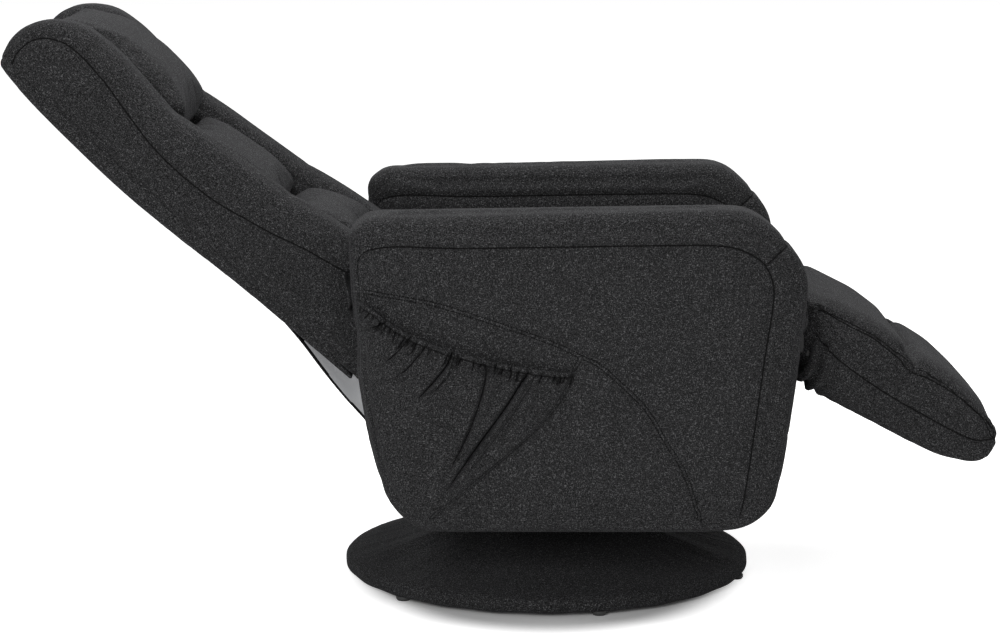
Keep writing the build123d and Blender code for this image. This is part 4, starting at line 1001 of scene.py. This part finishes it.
sway = np.sin(turn * 0.31) * np.sin(turn * 0.117 + 1.0)
rim_r = RIM_R + 0.0022 * np.clip(np.sin(-roll), 0, 1)
rim_r = rim_r + 0.0006 * np.sin(np.radians(turn * 23)) * np.clip(t_rim * 3, 0, 1)
rim_x = RIM_CENTRE[0] + (RIM_R + 0.001) * np.cos(np.radians(ROLL_START))
rim_z = RIM_CENTRE[1] + (RIM_R + 0.001) * np.sin(np.radians(ROLL_START))
slack = np.clip(ridge_gap / 10, 0, 1)
wrinkle = 0.0016 * np.sin(angle * 46 + 2.5 * np.sin(angle * 7)) * np.sin(angle * 5 + 0.8) ** 2
wrinkle = wrinkle + 0.0011 * np.sin(angle * 91 + 3 * sway)
tent_z = HUB_TOP + (rim_z - HUB_TOP) * t_tent - 0.006 * slack * np.sin(pi * t_tent)
tent_z = tent_z + 0.5 * wrinkle * np.sin(pi * t_tent**2.2)
on_plate = v < HOLE
plate_x, plate_y = hole_x + (hub_x - hole_x) * t_plate, hole_y + (hub_y - hole_y) * t_plate
x = np.where(on_plate, plate_x, hub_x + (rim_x * out_x - hub_x) * t_tent)
y = np.where(on_plate, plate_y, hub_y + (rim_x * out_y - hub_y) * t_tent)
z = np.where(on_plate, HUB_TOP, tent_z)
band_out = RIM_CENTRE[0] + rim_r * np.cos(roll)
band_z = RIM_CENTRE[1] + rim_r * np.sin(roll)
x = np.where(v > EDGE, band_out * out_x, x)
y = np.where(v > EDGE, band_out * out_y, y)
z = np.where(v > EDGE, np.maximum(band_z, LOWEST_Z), z)
put_points(cover, np.stack([CENTRE_X + x, y, z], axis=1))
work_over(cover, (bpy.ops.mesh.remove_doubles, {"threshold": 0.0001}), EVEN_NORMALS)
shape_by(cover, "SOLIDIFY", thickness=CLOTH_THICK, offset=-1.0)
bpy.ops.object.shade_smooth()
dress(cover, plain_cloth, "base", "base_cover", "cover_band")

# ---------------------------------------------------------------- rear skirt
# Lined cloth from the wooden rear rail up to the back: cover cloth outside with a turned hem,
# pale non-woven lining inside.
material, tree, out = new_material("lining_nonwoven")
place = node(tree, "ShaderNodeTexCoord").outputs["Object"]
fibres = noise(tree, place, 260.0, 4.0)
dots = node(tree, "ShaderNodeTexVoronoi", {"Vector": place, "Scale": 420.0})
tone = tone_between(tree, fibres, (0.72, 0.73, 0.75, 1), (0.88, 0.89, 0.91, 1))
inputs = {
    "Base Color": tone,
    "Roughness": ranged(tree, fibres, given=(0.75, 0.95)),
    "Emission Color": tone,
    "Emission Strength": 0.24,  # painted light: the lining glows a little, standing in for daylight coming through it
}
relief = maths(tree, "ADD", fibres, dots.outputs["Distance"])
surface(tree, out, relief, inputs, strength=0.4, distance=0.0004)
lining = material

SKIRT_LINE = [
    (-0.1848, 0.204), (-0.1855, 0.236), (-0.196, 0.262), (-0.2140, 0.288), (-0.2420, 0.320),
    (-0.2740, 0.360), (-0.3100, 0.408), (-0.3440, 0.449),
]
SKIRT_HALF_W = 0.222
SKIRT_ROWS = 64
skirt, u, v = cloth_grid("rear_skirt_cloth", 84, SKIRT_ROWS)
run = spread(SKIRT_LINE, SKIRT_ROWS + 1)
level = np.rint(v * SKIRT_ROWS).astype(int)
belly = 0.006 * np.sin(pi * u) * np.sin(pi * v)
ripple = 0.0016 * np.sin(u * 23 + 3 * v) * np.sin(pi * v)
x, z = run[level, 0] - belly * 0.8 - ripple, run[level, 1] - belly * 0.6
y = (2 * u - 1) * (SKIRT_HALF_W - 0.004 * np.sin(pi * v))
put_points(skirt, np.stack([x, y, z], axis=1))
# The sheet is given its thickness further down, and its inner faces then take the slot after
# their outer face's.
for material in (plain_cloth, lining, plain_cloth, plain_cloth):
    skirt.data.materials.append(material)
# Between the sides' turned hems, which are deeper towards the rail, and below the top flap,
# the inner face is lining.
HEM, HEM_GROWTH = 0.022, 0.055
HEM_Z, HEM_RUN = 0.29, 0.08  # it grows from this height down, over this run
FLAP_Z = 0.405
for face in skirt.data.polygons:
    centre = face.center
    low = min(1.0, max(0.0, (HEM_Z - centre.z) / HEM_RUN))
    hem = abs(centre.y) > SKIRT_HALF_W - HEM - HEM_GROWTH * low
    face.material_index = 2 if hem or centre.z > FLAP_Z else 0
if skirt.data.polygons[2000].normal.x > 0:  # a face in the middle of the skirt
    skirt.data.flip_normals()
shape_by(skirt, "SOLIDIFY", thickness=0.0014, offset=-1.0, material_offset=1)
bpy.ops.object.shade_smooth()
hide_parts("rear_skirt")
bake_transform(skirt)

# ---------------------------------------------------------------- steel, wood and plastic
# Bare fittings under the cloth: coated and plated steel, plywood and pine, felt and glides.
# They keep the frame's own solids, and each kind of stuff has its finish.
scuff = node_group("handling_marks", {}, {"Tone": "Float", "Height": "Float"})
place = node(scuff, "ShaderNodeTexCoord").outputs["Object"]
streaks = node(scuff, "ShaderNodeMapping", {"Vector": place, "Scale": (60.0, 900.0, 900.0)})
fine = noise(scuff, streaks.outputs[0], 1.0, 2.0)
both = maths(scuff, "ADD", noise(scuff, place, 24.0, 5.0), fine)
node(scuff, "NodeGroupOutput", {"Tone": maths(scuff, "MULTIPLY", both, 0.5), "Height": fine})


def hard_finish(name, dark, light, rough_low, rough_high, metallic):
    """A marked metal or plastic finish between two tones."""
    material, tree, out = new_material(name)
    scuffs = node(tree, "ShaderNodeGroup", node_tree=scuff).outputs
    inputs = {
        "Base Color": tone_between(tree, scuffs["Tone"], dark, light),
        "Roughness": ranged(tree, scuffs["Tone"], (0.3, 0.7), (rough_low, rough_high)),
        "Metallic": metallic,
    }
    surface(tree, out, scuffs["Height"], inputs, strength=0.15, distance=0.0003)
    return material


def timber(name, dark, light, ring_scale):
    """Sawn wood with long grain and rings along X."""
    material, tree, out = new_material(name)
    place = node(tree, "ShaderNodeTexCoord").outputs["Object"]
    stretch = {"Vector": place, "Scale": (3.0, 40.0, 40.0)}
    stretched = node(tree, "ShaderNodeMapping", stretch).outputs[0]
    warp = noise(tree, stretched, 1.5, 4.0)
    wave = {"Vector": stretched, "Scale": ring_scale, "Distortion": 6.0, "Detail": 3.0}
    rings = node(tree, "ShaderNodeTexWave", wave, bands_direction="Z").outputs["Fac"]
    inputs = {
        "Base Color": tone_between(tree, maths(tree, "MULTIPLY", rings, warp), light, dark),
        "Roughness": ranged(tree, warp, given=(0.55, 0.8)),
    }
    surface(tree, out, rings, inputs, strength=0.2, distance=0.0004)
    return material


material, tree, out = new_material("deck_felt")
fluff = noise(tree, node(tree, "ShaderNodeTexCoord").outputs["Object"], 380.0, 5.0)
tone = tone_between(tree, fluff, (0.05, 0.05, 0.05, 1), (0.17, 0.17, 0.17, 1))
inputs = {"Base Color": tone, "Roughness": 0.95}
surface(tree, out, fluff, inputs, strength=0.5, distance=0.0006)
deck_felt = material

finishes = {
    "black_steel": hard_finish(
        "steel_coated", (0.012, 0.012, 0.012, 1), (0.035, 0.035, 0.035, 1), 0.35, 0.55, 0.0
    ),
    "zinc_steel": hard_finish(
        "steel_plated", (0.42, 0.43, 0.45, 1), (0.66, 0.67, 0.69, 1), 0.25, 0.45, 1.0
    ),
    "brass_cage": hard_finish(
        "brass_pressed", (0.42, 0.29, 0.11, 1), (0.66, 0.5, 0.24, 1), 0.25, 0.45, 1.0
    ),
    "glide_plastic": hard_finish(
        "glide_moulded", (0.02, 0.02, 0.02, 1), (0.05, 0.05, 0.05, 1), 0.45, 0.65, 0.0
    ),
    "plywood": timber("plywood_birch", (0.42, 0.28, 0.16, 1), (0.68, 0.52, 0.34, 1), 2.2),
    "timber": timber("pine_sawn", (0.46, 0.29, 0.14, 1), (0.74, 0.56, 0.35, 1), 1.2),
    "felt": deck_felt,
    "lining": lining,
}
# The rear rail and the seat board show at some poses, and are given a darker wood than the rest.
darkened_wood = timber("wood_darkened", (0.010, 0.008, 0.007, 1), (0.030, 0.025, 0.022, 1), 1.2)
for part in frame["record"]["subparts"]:
    cad = frame["nodes"][part["node"]]
    if cad.hide_render or part["material_slot"] not in finishes:
        continue
    cad.data.materials.clear()
    dark_wood = part["node"] in ("rear_rail", "seat_board")
    cad.data.materials.append(darkened_wood if dark_wood else finishes[part["material_slot"]])

size = {"cad": [list(c) for c in cad_box], "visual": [list(c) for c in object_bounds()]}
